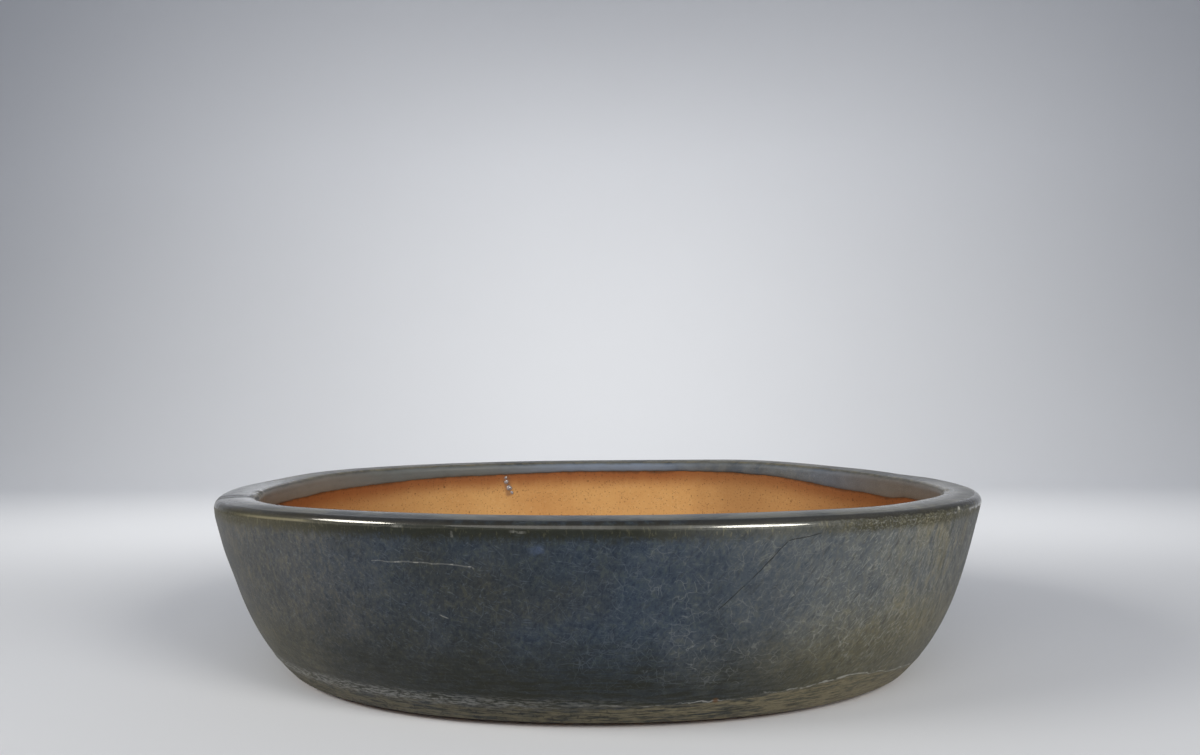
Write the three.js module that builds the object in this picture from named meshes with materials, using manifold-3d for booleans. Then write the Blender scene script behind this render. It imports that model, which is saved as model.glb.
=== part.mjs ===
// An oval bonsai pot of press-moulded stoneware with a poured glaze.
// Two wall halves stand on a floor slab and meet at the ends of the oval. A coil of clay fills the corner
// inside, four crescent feet are set in under the floor, and one coat of glaze covers the outside, the seam
// at the foot and the lip. Millimetres, +Z up, +X along the pot, -Y to the front. The origin is on the table,
// under the middle of the pot.

import * as THREE from 'three';
import Module from 'manifold-3d';
import { mergeVertices } from 'three/addons/utils/BufferGeometryUtils.js';

// The finished pot, over the glaze
const RIM_LENGTH = 360;
const RIM_WIDTH = 285;
const POT_HEIGHT = 83;
const OVAL_FULLNESS = 2.12; // 2 is a true ellipse, and a larger number a squarer oval

// The wall: a straight lean all the way down, and a turn that grows towards the foot
const WALL_LEAN = 19.7; // how far the lean brings the wall in, from the top of the lip to the lower edge
const FOOT_TURN = 14.3; // how far the turn brings it in as well
const TURN_POWER = 4; // how late the turn comes
const WALL_AT_FLOOR = 12.5; // level thickness of the clay where the wall stands on the floor

// The lip: three arcs, tangent to each other and to the wall
const LIP_THICKNESS = 16.5;
const LIP_OUTER_ROUND = 2;
const LIP_INNER_ROUND = 2.5;
const LIP_CROWN_ANGLE = THREE.MathUtils.degToRad(7); // how far the crown falls away to each side

// The floor slab, with a shallow recess underneath and holes through it
const EDGE_CLEARANCE = 1.5; // air between the pot's lower edge and the table
const FLOOR_THICKNESS = 8;
const RECESS_DEPTH = 2.5;
const RECESS_DRAFT = 1.5;
const STANDING_BAND = 14; // width of the lower edge, outside the recess
const EDGE_ROUND = 1.5;
const DRAIN_DIAMETER = 28;
const DRAIN_SPACING = 140;
const DRAIN_EASING = 1.5; // the rounding of the hole's upper edge
const WIRE_HOLE_DIAMETER = 5;
const WIRE_HOLE_SPACING_X = 92;
const WIRE_HOLE_SPACING_Y = 84;

// The coil pressed into the corner between the wall and the floor
const COIL_RISE = 11;
const COIL_REACH = 10;
const COIL_TOE = 0.8; // thickness of its two feathered edges

// The feet: crescents that follow the oval, just inside the recess
const FOOT_BEARING = THREE.MathUtils.degToRad(43); // the way the middle of a foot faces, from the pot's length
const FOOT_SPAN = THREE.MathUtils.degToRad(26);
const FOOT_WIDTH = 15;
const FOOT_DRAFT = 1.2;
const FOOT_MARGIN = 3; // from the edge of the recess to the foot

// The glaze, which runs deeper inside towards the ends of the oval
const GLAZE_THICKNESS = 0.8;
const BOND_GAP = 0.3; // film between two pieces that meet on a curved face
const GLAZE_SIDE_DEPTH = 6.5;
const GLAZE_END_DEPTH = 12;
const BARE_EDGE = 2; // unglazed clay above the lower edge

// Fineness of the facets
const RING_STEPS = 72;
const WALL_STEPS = 7;
const ARC_STEPS = 4;
const COIL_STEPS = 4;
const FOOT_STEPS = 8;
const HOLE_STEPS = 24;

// Half sizes and heights of the clay, worked out from these
const glazeSkin = BOND_GAP + GLAZE_THICKNESS;
const halfLength = RIM_LENGTH / 2 - glazeSkin;
const halfWidth = RIM_WIDTH / 2 - glazeSkin;
const lipTop = POT_HEIGHT - glazeSkin;
const edge = EDGE_CLEARANCE;
const recessTop = edge + RECESS_DEPTH;
const floorTop = recessTop + FLOOR_THICKNESS;

// The lean of the wall, and the arcs that close the lip over it
const lean = Math.atan2(WALL_LEAN, lipTop - edge);
const lipRounds = (LIP_OUTER_ROUND + LIP_INNER_ROUND) * (1 - Math.sin(LIP_CROWN_ANGLE));
const crownRadius = (LIP_THICKNESS - lipRounds) / (2 * Math.sin(LIP_CROWN_ANGLE));
const crownFall = crownRadius * (1 - Math.cos(LIP_CROWN_ANGLE));
const lipSide = lipTop - crownFall - LIP_OUTER_ROUND * (Math.cos(LIP_CROWN_ANGLE) + Math.sin(lean));

const clay = new THREE.MeshStandardMaterial({ color: 0xb98a5c, roughness: 0.85, metalness: 0 });
const glaze = new THREE.MeshStandardMaterial({ color: 0x4f585e, roughness: 0.2, metalness: 0 });

function spaced(from, to, steps) {
  return Array.from({ length: steps + 1 }, (_, i) => from + ((to - from) * i) / steps);
}

// The oval

// Where the clay's outline faces the angle phi, moved inwards along its own normal. The outline is a
// superellipse written by the direction that it faces, so every inset of it is an exact parallel.
function ovalPoint(phi, inset) {
  const dual = OVAL_FULLNESS / (OVAL_FULLNESS - 1);
  const along = halfLength * Math.abs(Math.cos(phi));
  const across = halfWidth * Math.abs(Math.sin(phi));
  const support = (along ** dual + across ** dual) ** (1 / dual);
  const x = halfLength * (along / support) ** (dual - 1) * Math.sign(Math.cos(phi));
  const y = halfWidth * (across / support) ** (dual - 1) * Math.sign(Math.sin(phi));
  return new THREE.Vector2(x - inset * Math.cos(phi), y - inset * Math.sin(phi));
}

// The wall's section. A face is a point, as inset and height, with the direction that points out of the clay.

function outerFace(z) {
  const depth = (lipSide - z) / (lipSide - edge);
  const start = LIP_OUTER_ROUND * (1 - Math.cos(lean));
  const inset = start + Math.tan(lean) * (lipSide - z) + FOOT_TURN * depth ** TURN_POWER;
  const turn = (TURN_POWER * FOOT_TURN * depth ** (TURN_POWER - 1)) / (lipSide - edge);
  const slope = Math.atan(Math.tan(lean) + turn);
  return { at: new THREE.Vector2(inset, z), out: new THREE.Vector2(-Math.cos(slope), -Math.sin(slope)) };
}

// The inside starts upright under the lip and draws in to the wall's thickness at the floor
function innerFace(z) {
  const fall = lipTop - LIP_INNER_ROUND - floorTop;
  const depth = Math.max(0, 1 - (z - floorTop) / fall);
  const draw = outerFace(floorTop).at.x + WALL_AT_FLOOR - LIP_THICKNESS;
  const slope = Math.atan((2 * draw * depth) / fall);
  return {
    at: new THREE.Vector2(LIP_THICKNESS + draw * depth ** 2, z),
    out: new THREE.Vector2(Math.cos(slope), Math.sin(slope)),
  };
}

function arcFaces(centre, radius, from, to, steps) {
  return spaced(from, to, steps).map((angle) => {
    const out = new THREE.Vector2(-Math.cos(angle), Math.sin(angle));
    return { at: centre.clone().addScaledVector(out, radius), out };
  });
}

// The lip from the outer wall to the inner one. Each arc's centre lies on the last arc's end normal.
function lipFaces() {
  const crownStart = Math.PI / 2 - LIP_CROWN_ANGLE;
  const crownEnd = Math.PI / 2 + LIP_CROWN_ANGLE;
  const direction = (angle) => new THREE.Vector2(-Math.cos(angle), Math.sin(angle));
  const outerCentre = new THREE.Vector2(LIP_OUTER_ROUND, lipSide + LIP_OUTER_ROUND * Math.sin(lean));
  const crownCentre = outerCentre.clone().addScaledVector(direction(crownStart), LIP_OUTER_ROUND - crownRadius);
  const innerCentre = crownCentre.clone().addScaledVector(direction(crownEnd), crownRadius - LIP_INNER_ROUND);
  return [
    ...arcFaces(outerCentre, LIP_OUTER_ROUND, -lean, 0, 1),
    ...arcFaces(outerCentre, LIP_OUTER_ROUND, 0, crownStart, ARC_STEPS).slice(1),
    ...arcFaces(crownCentre, crownRadius, crownStart, crownEnd, ARC_STEPS / 2).slice(1),
    ...arcFaces(innerCentre, LIP_INNER_ROUND, crownEnd, Math.PI, ARC_STEPS).slice(1),
  ];
}

// The skin of the clay from one height outside, over the lip, to another height inside
function skinFaces(outsideFrom, insideTo, insideSteps) {
  const lip = lipFaces();
  const outside = spaced(outsideFrom, lipSide, WALL_STEPS).slice(0, -1).map(outerFace);
  const inside = spaced(lip.at(-1).at.y, insideTo, insideSteps).slice(1).map(innerFace);
  return [...outside, ...lip, ...inside];
}

function movedOut(faces, distance) {
  return faces.map(({ at, out }) => at.clone().addScaledVector(out, distance));
}

// Solids swept round the oval. Their sections run up the outside and down the inside.

function geometryOf(points, faces) {
  const geometry = new THREE.BufferGeometry();
  geometry.setAttribute('position', new THREE.Float32BufferAttribute(points.flat(), 3));
  geometry.setIndex(faces.flat());
  return geometry;
}

function sectionAt(section, phi) {
  return section.flatMap(({ x: inset, y: z }) => {
    const { x, y } = ovalPoint(phi, inset);
    return [x, y, z];
  });
}

// Two triangles for each step along the section and each step round the oval
function bandFaces(count, rings, closedSection, closedRound) {
  const faces = [];
  for (let ring = 0; ring < rings - (closedRound ? 0 : 1); ring += 1) {
    const next = (ring + 1) % rings;
    for (let i = 0; i < count - (closedSection ? 0 : 1); i += 1) {
      const j = (i + 1) % count;
      const [a, b] = [ring * count + i, ring * count + j];
      const [c, d] = [next * count + i, next * count + j];
      faces.push([a, c, b], [b, c, d]);
    }
  }
  return faces;
}

function fullTurn() {
  return spaced(0, 2 * Math.PI, RING_STEPS).slice(0, -1);
}

// A closed section carried all the way round; it may change with the bearing
function wholeRing(sectionFor) {
  const points = fullTurn().map((phi) => sectionAt(sectionFor(phi), phi));
  return geometryOf(points, bandFaces(sectionFor(0).length, points.length, true, true));
}

// A closed section carried through half a turn, with a flat face at each end of the oval
function halfRing(section, from) {
  const points = spaced(from, from + Math.PI, RING_STEPS / 2).map((phi) => sectionAt(section, phi));
  const faces = bandFaces(section.length, points.length, true, false);
  const last = (points.length - 1) * section.length;
  for (const [a, b, c] of THREE.ShapeUtils.triangulateShape(section, [])) {
    faces.push([a, c, b], [last + a, last + b, last + c]);
  }
  return geometryOf(points, faces);
}

// A disc whose edge follows an open section from its bottom face to its top face
function disc(section) {
  const points = fullTurn().map((phi) => sectionAt(section, phi));
  const rings = points.length;
  const count = section.length;
  const faces = bandFaces(count, rings, false, true);
  const bottomCentre = rings * count;
  const topCentre = bottomCentre + 1;
  for (let ring = 0; ring < rings; ring += 1) {
    const next = (ring + 1) % rings;
    faces.push([bottomCentre, next * count, ring * count]);
    faces.push([topCentre, ring * count + count - 1, next * count + count - 1]);
  }
  points.push([0, 0, section[0].y], [0, 0, section.at(-1).y]);
  return geometryOf(points, faces);
}

// Cuts, made on closed solids

const wasm = await Module();
wasm.setup();

function solidOf(geometry) {
  const bare = geometry.clone();
  bare.deleteAttribute('normal');
  bare.deleteAttribute('uv');
  const merged = mergeVertices(bare);
  return new wasm.Manifold(new wasm.Mesh({
    numProp: 3,
    vertProperties: new Float32Array(merged.getAttribute('position').array),
    triVerts: new Uint32Array(merged.index.array),
  }));
}

function cut(geometry, cutters) {
  const rest = cutters.reduce((solid, cutter) => solid.subtract(solidOf(cutter)), solidOf(geometry));
  const { vertProperties, triVerts } = rest.getMesh();
  return geometryOf(Array.from(vertProperties), Array.from(triVerts));
}

// The pieces

function wallSection() {
  return skinFaces(floorTop, floorTop, WALL_STEPS).map(({ at }) => at);
}

// A drain hole, with its upper edge eased by a quarter round
function drainCutters() {
  const radius = DRAIN_DIAMETER / 2;
  const hole = new THREE.Path();
  hole.moveTo(0, edge);
  hole.lineTo(radius, edge);
  hole.lineTo(radius, floorTop - DRAIN_EASING);
  hole.absarc(radius + DRAIN_EASING, floorTop - DRAIN_EASING, DRAIN_EASING, Math.PI, Math.PI / 2, true);
  hole.lineTo(radius + DRAIN_EASING, floorTop + DRAIN_EASING);
  hole.lineTo(0, floorTop + DRAIN_EASING);
  return [-1, 1].map((side) => new THREE.LatheGeometry(hole.getPoints(ARC_STEPS), HOLE_STEPS)
    .rotateX(Math.PI / 2)
    .translate((side * DRAIN_SPACING) / 2, 0, 0));
}

function wireCutters() {
  const radius = WIRE_HOLE_DIAMETER / 2;
  const length = FLOOR_THICKNESS + 2 * RECESS_DEPTH;
  return [[-1, -1], [1, -1], [-1, 1], [1, 1]].map(([sideX, sideY]) => {
    const hole = new THREE.CylinderGeometry(radius, radius, length, HOLE_STEPS / 2).rotateX(Math.PI / 2);
    return hole.translate(
      (sideX * WIRE_HOLE_SPACING_X) / 2,
      (sideY * WIRE_HOLE_SPACING_Y) / 2,
      (recessTop + floorTop) / 2,
    );
  });
}

// The slab's edge carries on the wall's curve, and its lower arris is softened
function floorGeometry() {
  const arris = outerFace(edge).at;
  const softened = new THREE.QuadraticBezierCurve(
    new THREE.Vector2(arris.x + EDGE_ROUND, edge),
    arris,
    outerFace(edge + EDGE_ROUND).at,
  );
  const section = [
    new THREE.Vector2(arris.x + STANDING_BAND + RECESS_DRAFT, recessTop),
    new THREE.Vector2(arris.x + STANDING_BAND, edge),
    ...softened.getPoints(ARC_STEPS / 2),
    outerFace((edge + EDGE_ROUND + floorTop) / 2).at,
    outerFace(floorTop).at,
  ];
  return cut(disc(section), [...drainCutters(), ...wireCutters()]);
}

// A fillet with a hollow face, bedded against the wall and flat on the floor
function coilSection() {
  const bedded = movedOut(spaced(floorTop, floorTop + COIL_RISE, COIL_STEPS).map(innerFace), BOND_GAP);
  const corner = bedded[0];
  corner.y = floorTop;
  const top = bedded.at(-1);
  const toe = new THREE.Vector2(corner.x + COIL_REACH, floorTop);
  const hollow = new THREE.QuadraticBezierCurve(
    new THREE.Vector2(top.x + COIL_TOE, top.y),
    new THREE.Vector2(corner.x + COIL_TOE, floorTop + COIL_TOE),
    new THREE.Vector2(toe.x, floorTop + COIL_TOE),
  );
  return [...bedded, ...hollow.getPoints(COIL_STEPS), toe];
}

// The outline of a foot: a band of the oval, with a half round at each end
function footOutline(facing, half) {
  const middle = outerFace(edge).at.x + STANDING_BAND + RECESS_DRAFT + FOOT_MARGIN + FOOT_WIDTH / 2;
  const from = facing - FOOT_SPAN / 2;
  const to = facing + FOOT_SPAN / 2;
  const sides = spaced(from, to, FOOT_STEPS);
  const halfRound = (phi, turned) => spaced(0, Math.PI, ARC_STEPS).slice(1, -1).map((turn) => {
    const { x, y } = ovalPoint(phi, middle);
    const angle = phi + turned + turn;
    return new THREE.Vector2(x + half * Math.cos(angle), y + half * Math.sin(angle));
  });
  return [
    ...sides.map((phi) => ovalPoint(phi, middle - half)),
    ...halfRound(to, 0),
    ...sides.toReversed().map((phi) => ovalPoint(phi, middle + half)),
    ...halfRound(from, Math.PI),
  ];
}

// One foot, narrower at the table than under the floor
function footGeometry(facing) {
  const under = footOutline(facing, FOOT_WIDTH / 2 - FOOT_DRAFT);
  const upper = footOutline(facing, FOOT_WIDTH / 2);
  const points = [...under.map(({ x, y }) => [x, y, 0]), ...upper.map(({ x, y }) => [x, y, recessTop])];
  const count = under.length;
  const faces = under.flatMap((_, i) => {
    const j = (i + 1) % count;
    return [[i, j, count + i], [j, count + j, count + i]];
  });
  for (const [a, b, c] of THREE.ShapeUtils.triangulateShape(under, [])) {
    faces.push([a, c, b], [count + a, count + b, count + c]);
  }
  return geometryOf(points, faces);
}

function glazeSection(phi) {
  const depth = GLAZE_SIDE_DEPTH + (GLAZE_END_DEPTH - GLAZE_SIDE_DEPTH) * Math.cos(phi) ** 2;
  const faces = skinFaces(edge + BARE_EDGE, POT_HEIGHT - depth, ARC_STEPS / 2);
  return [...movedOut(faces, glazeSkin), ...movedOut(faces, BOND_GAP).toReversed()];
}

const pot = new THREE.Group();

function add(name, geometry, material) {
  const mesh = new THREE.Mesh(geometry, material);
  mesh.name = name;
  pot.add(mesh);
}

add('wall_front', halfRing(wallSection(), Math.PI), clay);
add('wall_rear', halfRing(wallSection(), 0), clay);
add('floor_slab', floorGeometry(), clay);
add('corner_coil', wholeRing(coilSection), clay);
add('foot_rear_right', footGeometry(FOOT_BEARING), clay);
add('foot_rear_left', footGeometry(Math.PI - FOOT_BEARING), clay);
add('foot_front_left', footGeometry(Math.PI + FOOT_BEARING), clay);
add('foot_front_right', footGeometry(2 * Math.PI - FOOT_BEARING), clay);
add('glaze_coat', wholeRing(glazeSection), glaze);

export default pot;
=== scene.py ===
# %% [markdown]
# # An oval bonsai pot in stoneware and glaze
# The pot's construction comes in as a fixed frame of solids, in metres, with the front towards -Y. Each piece
# made in this lesson takes the place of one of those solids, at the same spot and to the same sizes, with the
# fine shapes and the fired surfaces that the plain solids lack.

# %% Load the frame
import math
from collections import namedtuple

import bmesh
import bpy
from mathutils import Matrix, Vector


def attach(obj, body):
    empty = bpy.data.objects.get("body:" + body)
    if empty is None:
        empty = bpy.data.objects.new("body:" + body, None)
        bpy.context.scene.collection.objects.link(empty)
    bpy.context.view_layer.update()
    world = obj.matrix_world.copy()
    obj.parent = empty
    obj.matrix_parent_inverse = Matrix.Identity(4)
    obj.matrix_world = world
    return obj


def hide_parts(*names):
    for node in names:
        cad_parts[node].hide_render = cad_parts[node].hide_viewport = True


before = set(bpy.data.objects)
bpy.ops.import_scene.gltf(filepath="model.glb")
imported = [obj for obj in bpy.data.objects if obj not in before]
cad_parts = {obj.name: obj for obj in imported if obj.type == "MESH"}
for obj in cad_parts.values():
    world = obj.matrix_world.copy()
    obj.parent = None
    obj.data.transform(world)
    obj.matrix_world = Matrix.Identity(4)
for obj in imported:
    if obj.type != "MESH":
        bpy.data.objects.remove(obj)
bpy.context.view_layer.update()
scene = bpy.context.scene
print("solids in the frame:", sorted(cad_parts))

# %% [markdown]
# ## The camera
# The picture was taken from close by and a little above the rim, with the pot low in the frame. Aiming the
# camera at the pot and sliding the picture down would need a lens shift, which other views keep. So the
# camera is turned upwards instead, until the middle of the pot lands on its own pixel.

# %% Place the camera
PICTURE_WIDTH = 1200
PICTURE_HEIGHT = 755
FOCAL_PIXELS = 900
POT_MIDDLE = Vector((0, 0, 0.041))
MIDDLE_PIXEL = (597.82, 564.59)
CAMERA_DISTANCE = 0.45872
CAMERA_RISE = 0.1864
CAMERA_SWING = 0.0247
CAMERA_ROLL = -0.0066
SENSOR = 36

away = Vector((math.sin(CAMERA_SWING), -math.cos(CAMERA_SWING), 0)) * math.cos(CAMERA_RISE)
away.z = math.sin(CAMERA_RISE)
right = Vector((0, 0, 1)).cross(away).normalized()
upright = Matrix((right, away.cross(right), away))
pan = math.atan((MIDDLE_PIXEL[0] - PICTURE_WIDTH / 2) / FOCAL_PIXELS)
tilt = math.atan((PICTURE_HEIGHT / 2 - MIDDLE_PIXEL[1]) / FOCAL_PIXELS)
turned = (
    Matrix.Rotation(tilt, 3, "X")
    @ Matrix.Rotation(-pan, 3, "Y")
    @ Matrix.Rotation(-CAMERA_ROLL, 3, "Z")
    @ upright
)

lens = bpy.data.cameras.new("camera")
lens.sensor_fit = "HORIZONTAL"
lens.sensor_width = SENSOR
lens.lens = SENSOR * FOCAL_PIXELS / PICTURE_WIDTH
lens.clip_start = 0.01
camera = bpy.data.objects.new("camera", lens)
camera.matrix_world = Matrix.Translation(POT_MIDDLE + away * CAMERA_DISTANCE) @ turned.transposed().to_4x4()
scene.collection.objects.link(camera)
scene.camera = camera
print("camera at", [round(value, 4) for value in camera.location], "lens", lens.lens)

# %% [markdown]
# ## The sizes
# These are the construction's own sizes, in metres. Everything below is worked out from them, so a visual
# piece lies where its solid does.

# %% Sizes of the pot
MM = 0.001
RIM_LENGTH = 360 * MM
RIM_WIDTH = 285 * MM
POT_HEIGHT = 83 * MM
OVAL_FULLNESS = 2.12
WALL_LEAN = 19.7 * MM
FOOT_TURN = 14.3 * MM
TURN_POWER = 4
WALL_AT_FLOOR = 12.5 * MM
LIP_THICKNESS = 16.5 * MM
LIP_OUTER_ROUND = 2 * MM
LIP_INNER_ROUND = 2.5 * MM
LIP_CROWN_ANGLE = math.radians(7)
EDGE = 1.5 * MM  # air under the pot's lower edge
RECESS_TOP = 4 * MM
FLOOR_TOP = 12 * MM
GLAZE_SKIN = 1.1 * MM  # the glaze and the film under it

half_length = RIM_LENGTH / 2 - GLAZE_SKIN
half_width = RIM_WIDTH / 2 - GLAZE_SKIN
lip_top = POT_HEIGHT - GLAZE_SKIN
lean = math.atan2(WALL_LEAN, lip_top - EDGE)
lip_rounds = (LIP_OUTER_ROUND + LIP_INNER_ROUND) * (1 - math.sin(LIP_CROWN_ANGLE))
crown_radius = (LIP_THICKNESS - lip_rounds) / (2 * math.sin(LIP_CROWN_ANGLE))
crown_fall = crown_radius * (1 - math.cos(LIP_CROWN_ANGLE))
lip_side = lip_top - crown_fall - LIP_OUTER_ROUND * (math.cos(LIP_CROWN_ANGLE) + math.sin(lean))
lean_degrees = round(math.degrees(lean), 1)
print("the wall meets the lip at", round(lip_side, 5), "and leans by", lean_degrees, "degrees")

# %% [markdown]
# ## The section of the wall
# A potter cuts one profile and carries it round the whole pot. Here a profile is a list of faces: how far the
# point is set in from the rim's outline, how high it is, and which way is out of the clay. A drawn curve
# could hold the points, but only the rule gives the outward direction that a skin of glaze needs.

# %% Write the profile as rules
Face = namedtuple("Face", "inset height out_inset out_height")


def spaced(start, stop, steps):
    return [start + (stop - start) * step / steps for step in range(steps + 1)]


def outer_face(height):
    depth = (lip_side - height) / (lip_side - EDGE)
    start = LIP_OUTER_ROUND * (1 - math.cos(lean))
    inset = start + math.tan(lean) * (lip_side - height) + FOOT_TURN * depth**TURN_POWER
    turn = TURN_POWER * FOOT_TURN * depth ** (TURN_POWER - 1) / (lip_side - EDGE)
    slope = math.atan(math.tan(lean) + turn)
    return Face(inset, height, -math.cos(slope), -math.sin(slope))


inner_top = lip_top - LIP_INNER_ROUND
inner_fall = inner_top - FLOOR_TOP
inner_draw = outer_face(FLOOR_TOP).inset + WALL_AT_FLOOR - LIP_THICKNESS


def inner_face(height):
    depth = max(0.0, (inner_top - height) / inner_fall)
    slope = math.atan(2 * inner_draw * depth / inner_fall)
    return Face(LIP_THICKNESS + inner_draw * depth**2, height, math.cos(slope), math.sin(slope))


def arc_faces(centre, radius, start, stop, steps):
    faces = []
    for angle in spaced(start, stop, steps):
        out = Vector((-math.cos(angle), math.sin(angle)))
        spot = centre + out * radius
        faces.append(Face(spot.x, spot.y, out.x, out.y))
    return faces


def lip_faces(roll_steps, crown_steps, arris_steps):
    crown_start = math.pi / 2 - LIP_CROWN_ANGLE
    crown_end = math.pi / 2 + LIP_CROWN_ANGLE
    roll_centre = Vector((LIP_OUTER_ROUND, lip_side + LIP_OUTER_ROUND * math.sin(lean)))
    start_out = Vector((-math.cos(crown_start), math.sin(crown_start)))
    end_out = Vector((-math.cos(crown_end), math.sin(crown_end)))
    crown_centre = roll_centre + start_out * (LIP_OUTER_ROUND - crown_radius)
    arris_centre = crown_centre + end_out * (crown_radius - LIP_INNER_ROUND)
    roll = arc_faces(roll_centre, LIP_OUTER_ROUND, -lean, crown_start, roll_steps)
    crown = arc_faces(crown_centre, crown_radius, crown_start, crown_end, crown_steps)
    arris = arc_faces(arris_centre, LIP_INNER_ROUND, crown_end, math.pi, arris_steps)
    return roll + crown[1:] + arris[1:]


def moved_out(face, distance):
    inset = face.inset + face.out_inset * distance
    return Face(inset, face.height + face.out_height * distance, face.out_inset, face.out_height)


def oval_point(facing, inset):
    """The place on the rim's outline, or on a parallel of it, that faces a bearing."""
    dual = OVAL_FULLNESS / (OVAL_FULLNESS - 1)
    along = half_length * abs(math.cos(facing))
    across = half_width * abs(math.sin(facing))
    support = (along**dual + across**dual) ** (1 / dual)
    x = half_length * (along / support) ** (dual - 1) * math.copysign(1, math.cos(facing))
    y = half_width * (across / support) ** (dual - 1) * math.copysign(1, math.sin(facing))
    return Vector((x - inset * math.cos(facing), y - inset * math.sin(facing)))


print("at the floor, the inside of the wall lies", round(inner_face(FLOOR_TOP).inset, 5), "in from the rim")

# %% [markdown]
# ## A way to write nodes
# Both the shapes and the finishes are built from nodes. Placing each node and link by hand hides the idea, so
# one small class wraps a socket: plus, minus, times and the rest add Math nodes, and any other node comes
# from a single method that takes its type, its settings and the values or links of its sockets.

# %% Wrap a node's socket


class Wire:
    """An output socket of a node tree, with arithmetic."""

    def __init__(self, tree, socket):
        self.tree = tree
        self.socket = socket

    @classmethod
    def node(cls, tree, kind, settings=None, sockets=None):
        made = tree.nodes.new(kind)
        for name, value in (settings or {}).items():
            setattr(made, name, value)
        for key, value in (sockets or {}).items():
            wanted = made.inputs[key] if isinstance(key, int) else None
            for socket in made.inputs:
                if wanted is None and socket.name == key and socket.enabled:
                    wanted = socket
            if isinstance(value, Wire):
                tree.links.new(value.socket, wanted)
            else:
                wanted.default_value = value
        return cls(tree, next((socket for socket in made.outputs if socket.enabled), None))

    def __getitem__(self, name):
        return Wire(self.tree, self.socket.node.outputs[name])

    def math(self, operation, *others):
        values = dict(enumerate([self, *others]))
        return Wire.node(self.tree, "ShaderNodeMath", {"operation": operation}, values)

    def flipped(self, operation, other):
        return Wire.node(self.tree, "ShaderNodeMath", {"operation": operation}, {0: other, 1: self})

    def __add__(self, other):
        return self.math("ADD", other)

    def __radd__(self, other):
        return self.flipped("ADD", other)

    def __sub__(self, other):
        return self.math("SUBTRACT", other)

    def __rsub__(self, other):
        return self.flipped("SUBTRACT", other)

    def __mul__(self, other):
        return self.math("MULTIPLY", other)

    def __rmul__(self, other):
        return self.flipped("MULTIPLY", other)

    def __truediv__(self, other):
        return self.math("DIVIDE", other)

    def __rtruediv__(self, other):
        return self.flipped("DIVIDE", other)

    def __pow__(self, other):
        return self.math("POWER", other)

    def __neg__(self):
        return self.flipped("SUBTRACT", 0.0)

    def __abs__(self):
        return self.math("ABSOLUTE")


def smooth(value, low, high):
    """0 up to low, 1 from high, and a soft step between; low may be the larger one."""
    limits = {"Value": value, "From Min": low, "From Max": high}
    return Wire.node(value.tree, "ShaderNodeMapRange", {"interpolation_type": "SMOOTHSTEP"}, limits)


def noise(where, scale, detail=2.0, roughness=0.5, distortion=0.0):
    sockets = {"Vector": where, "Scale": scale, "Detail": detail, "Roughness": roughness}
    return Wire.node(where.tree, "ShaderNodeTexNoise", None, {**sockets, "Distortion": distortion})


def moved(where, offset):
    return Wire.node(where.tree, "ShaderNodeVectorMath", {"operation": "ADD"}, {0: where, 1: offset})


def stretched(where, factors):
    return Wire.node(where.tree, "ShaderNodeVectorMath", {"operation": "MULTIPLY"}, {0: where, 1: factors})


print("node writing is ready")

# %% [markdown]
# ## What the hand left
# A pot built by hand is never quite true. The wall wavers, the rim dips and rises, the seam low on the wall
# wanders, and the glaze ends on a ragged line inside. One table holds the oval's sizes and the strength of
# each trace, and short lists say where round the pot a trace lies. The nodes only read them, so any of them
# can be changed on its own.

# %% Name the sizes of the sweep
SWEEP_SIZES = {
    "Steps": 300,
    "From": 0.0,
    "To": 2 * math.pi,
    "Half Length": half_length,
    "Half Width": half_width,
    "Fullness": OVAL_FULLNESS,
    "Hand Waver": 0.3 * MM,
    "Rim Warp": 0.15 * MM,
    "Rim Dip": 1.9 * MM,
    "Rim Rise": 1.2 * MM,
    "End Bulge": 0.75 * MM,
    "End Thin": 2.4 * MM,
    "Seam Height": 11.4 * MM,
    "Seam Lift": 4.6 * MM,
    "Seam Ridge": 0.22 * MM,
    "Line Depth": 6.3 * MM,
    "Line End Depth": 9.9 * MM,
    "Line Sag": 2.3 * MM,
    "Ragged": 0.5 * MM,
    "Hem Waver": 0.55 * MM,
    "Lip Lump": 1.5 * MM,
    "Crease": 0.3 * MM,
    "Finger Press": 0.5 * MM,
    "Roll Ease": 0.75 * MM,
    "Seed": 3.0,
}

# Where round the oval a trace lies: a bearing and its spread, both in degrees, and a strength
GLAZE_SAGS = (
    (38, 16, 1.25),
    (19, 7, 0.6),
    (62, 10, 0.25),
    (106, 8, 0.3),
    (138, 22, 0.5),
    (231, 14, 0.7),
    (318, 10, 0.9),
)
SEAM_RISES = ((301, 11, 1.0), (287, 8, 0.3), (330, 8, -0.3))
LIP_LUMPS = ((199, 3.0, 1.0), (191, 2.2, 0.8), (344, 2.6, 0.8))
CREASES = ((203, 0.9, 1.0), (199.3, 0.8, 0.9))
EASED_ROLL = ((292, 24, 1.0),)
BULGED_WALL = ((203, 30, 1.0),)
THIN_LIP = ((350, 16, 1.0),)
RIM_RISES = ((66, 14, 1.0),)
RIM_DIPS = (
    (8, 26, 0.85),
    (24, 9, 0.35),
    (40, 13, 0.3),
    (335, 24, 0.6),
    (305, 12, 0.3),
    (200, 24, 1.2),
    (168, 14, 0.6),
    (228, 14, 0.3),
)

# Where up or across the section a trace starts and where it is full
BULGE_BELOW = (44 * MM, 62 * MM)
BULGE_ABOVE = (81 * MM, 74 * MM)
THIN_INSETS = (6 * MM, 15 * MM)
THIN_HEIGHTS = (45 * MM, 75 * MM)
RIM_HEIGHTS = (22 * MM, 80 * MM)
RIDGE_WIDTH = 0.9 * MM  # of the ridge at the seam, up the wall
print("sizes of the sweep:", len(SWEEP_SIZES), "and dips of the rim:", len(RIM_DIPS))

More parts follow.
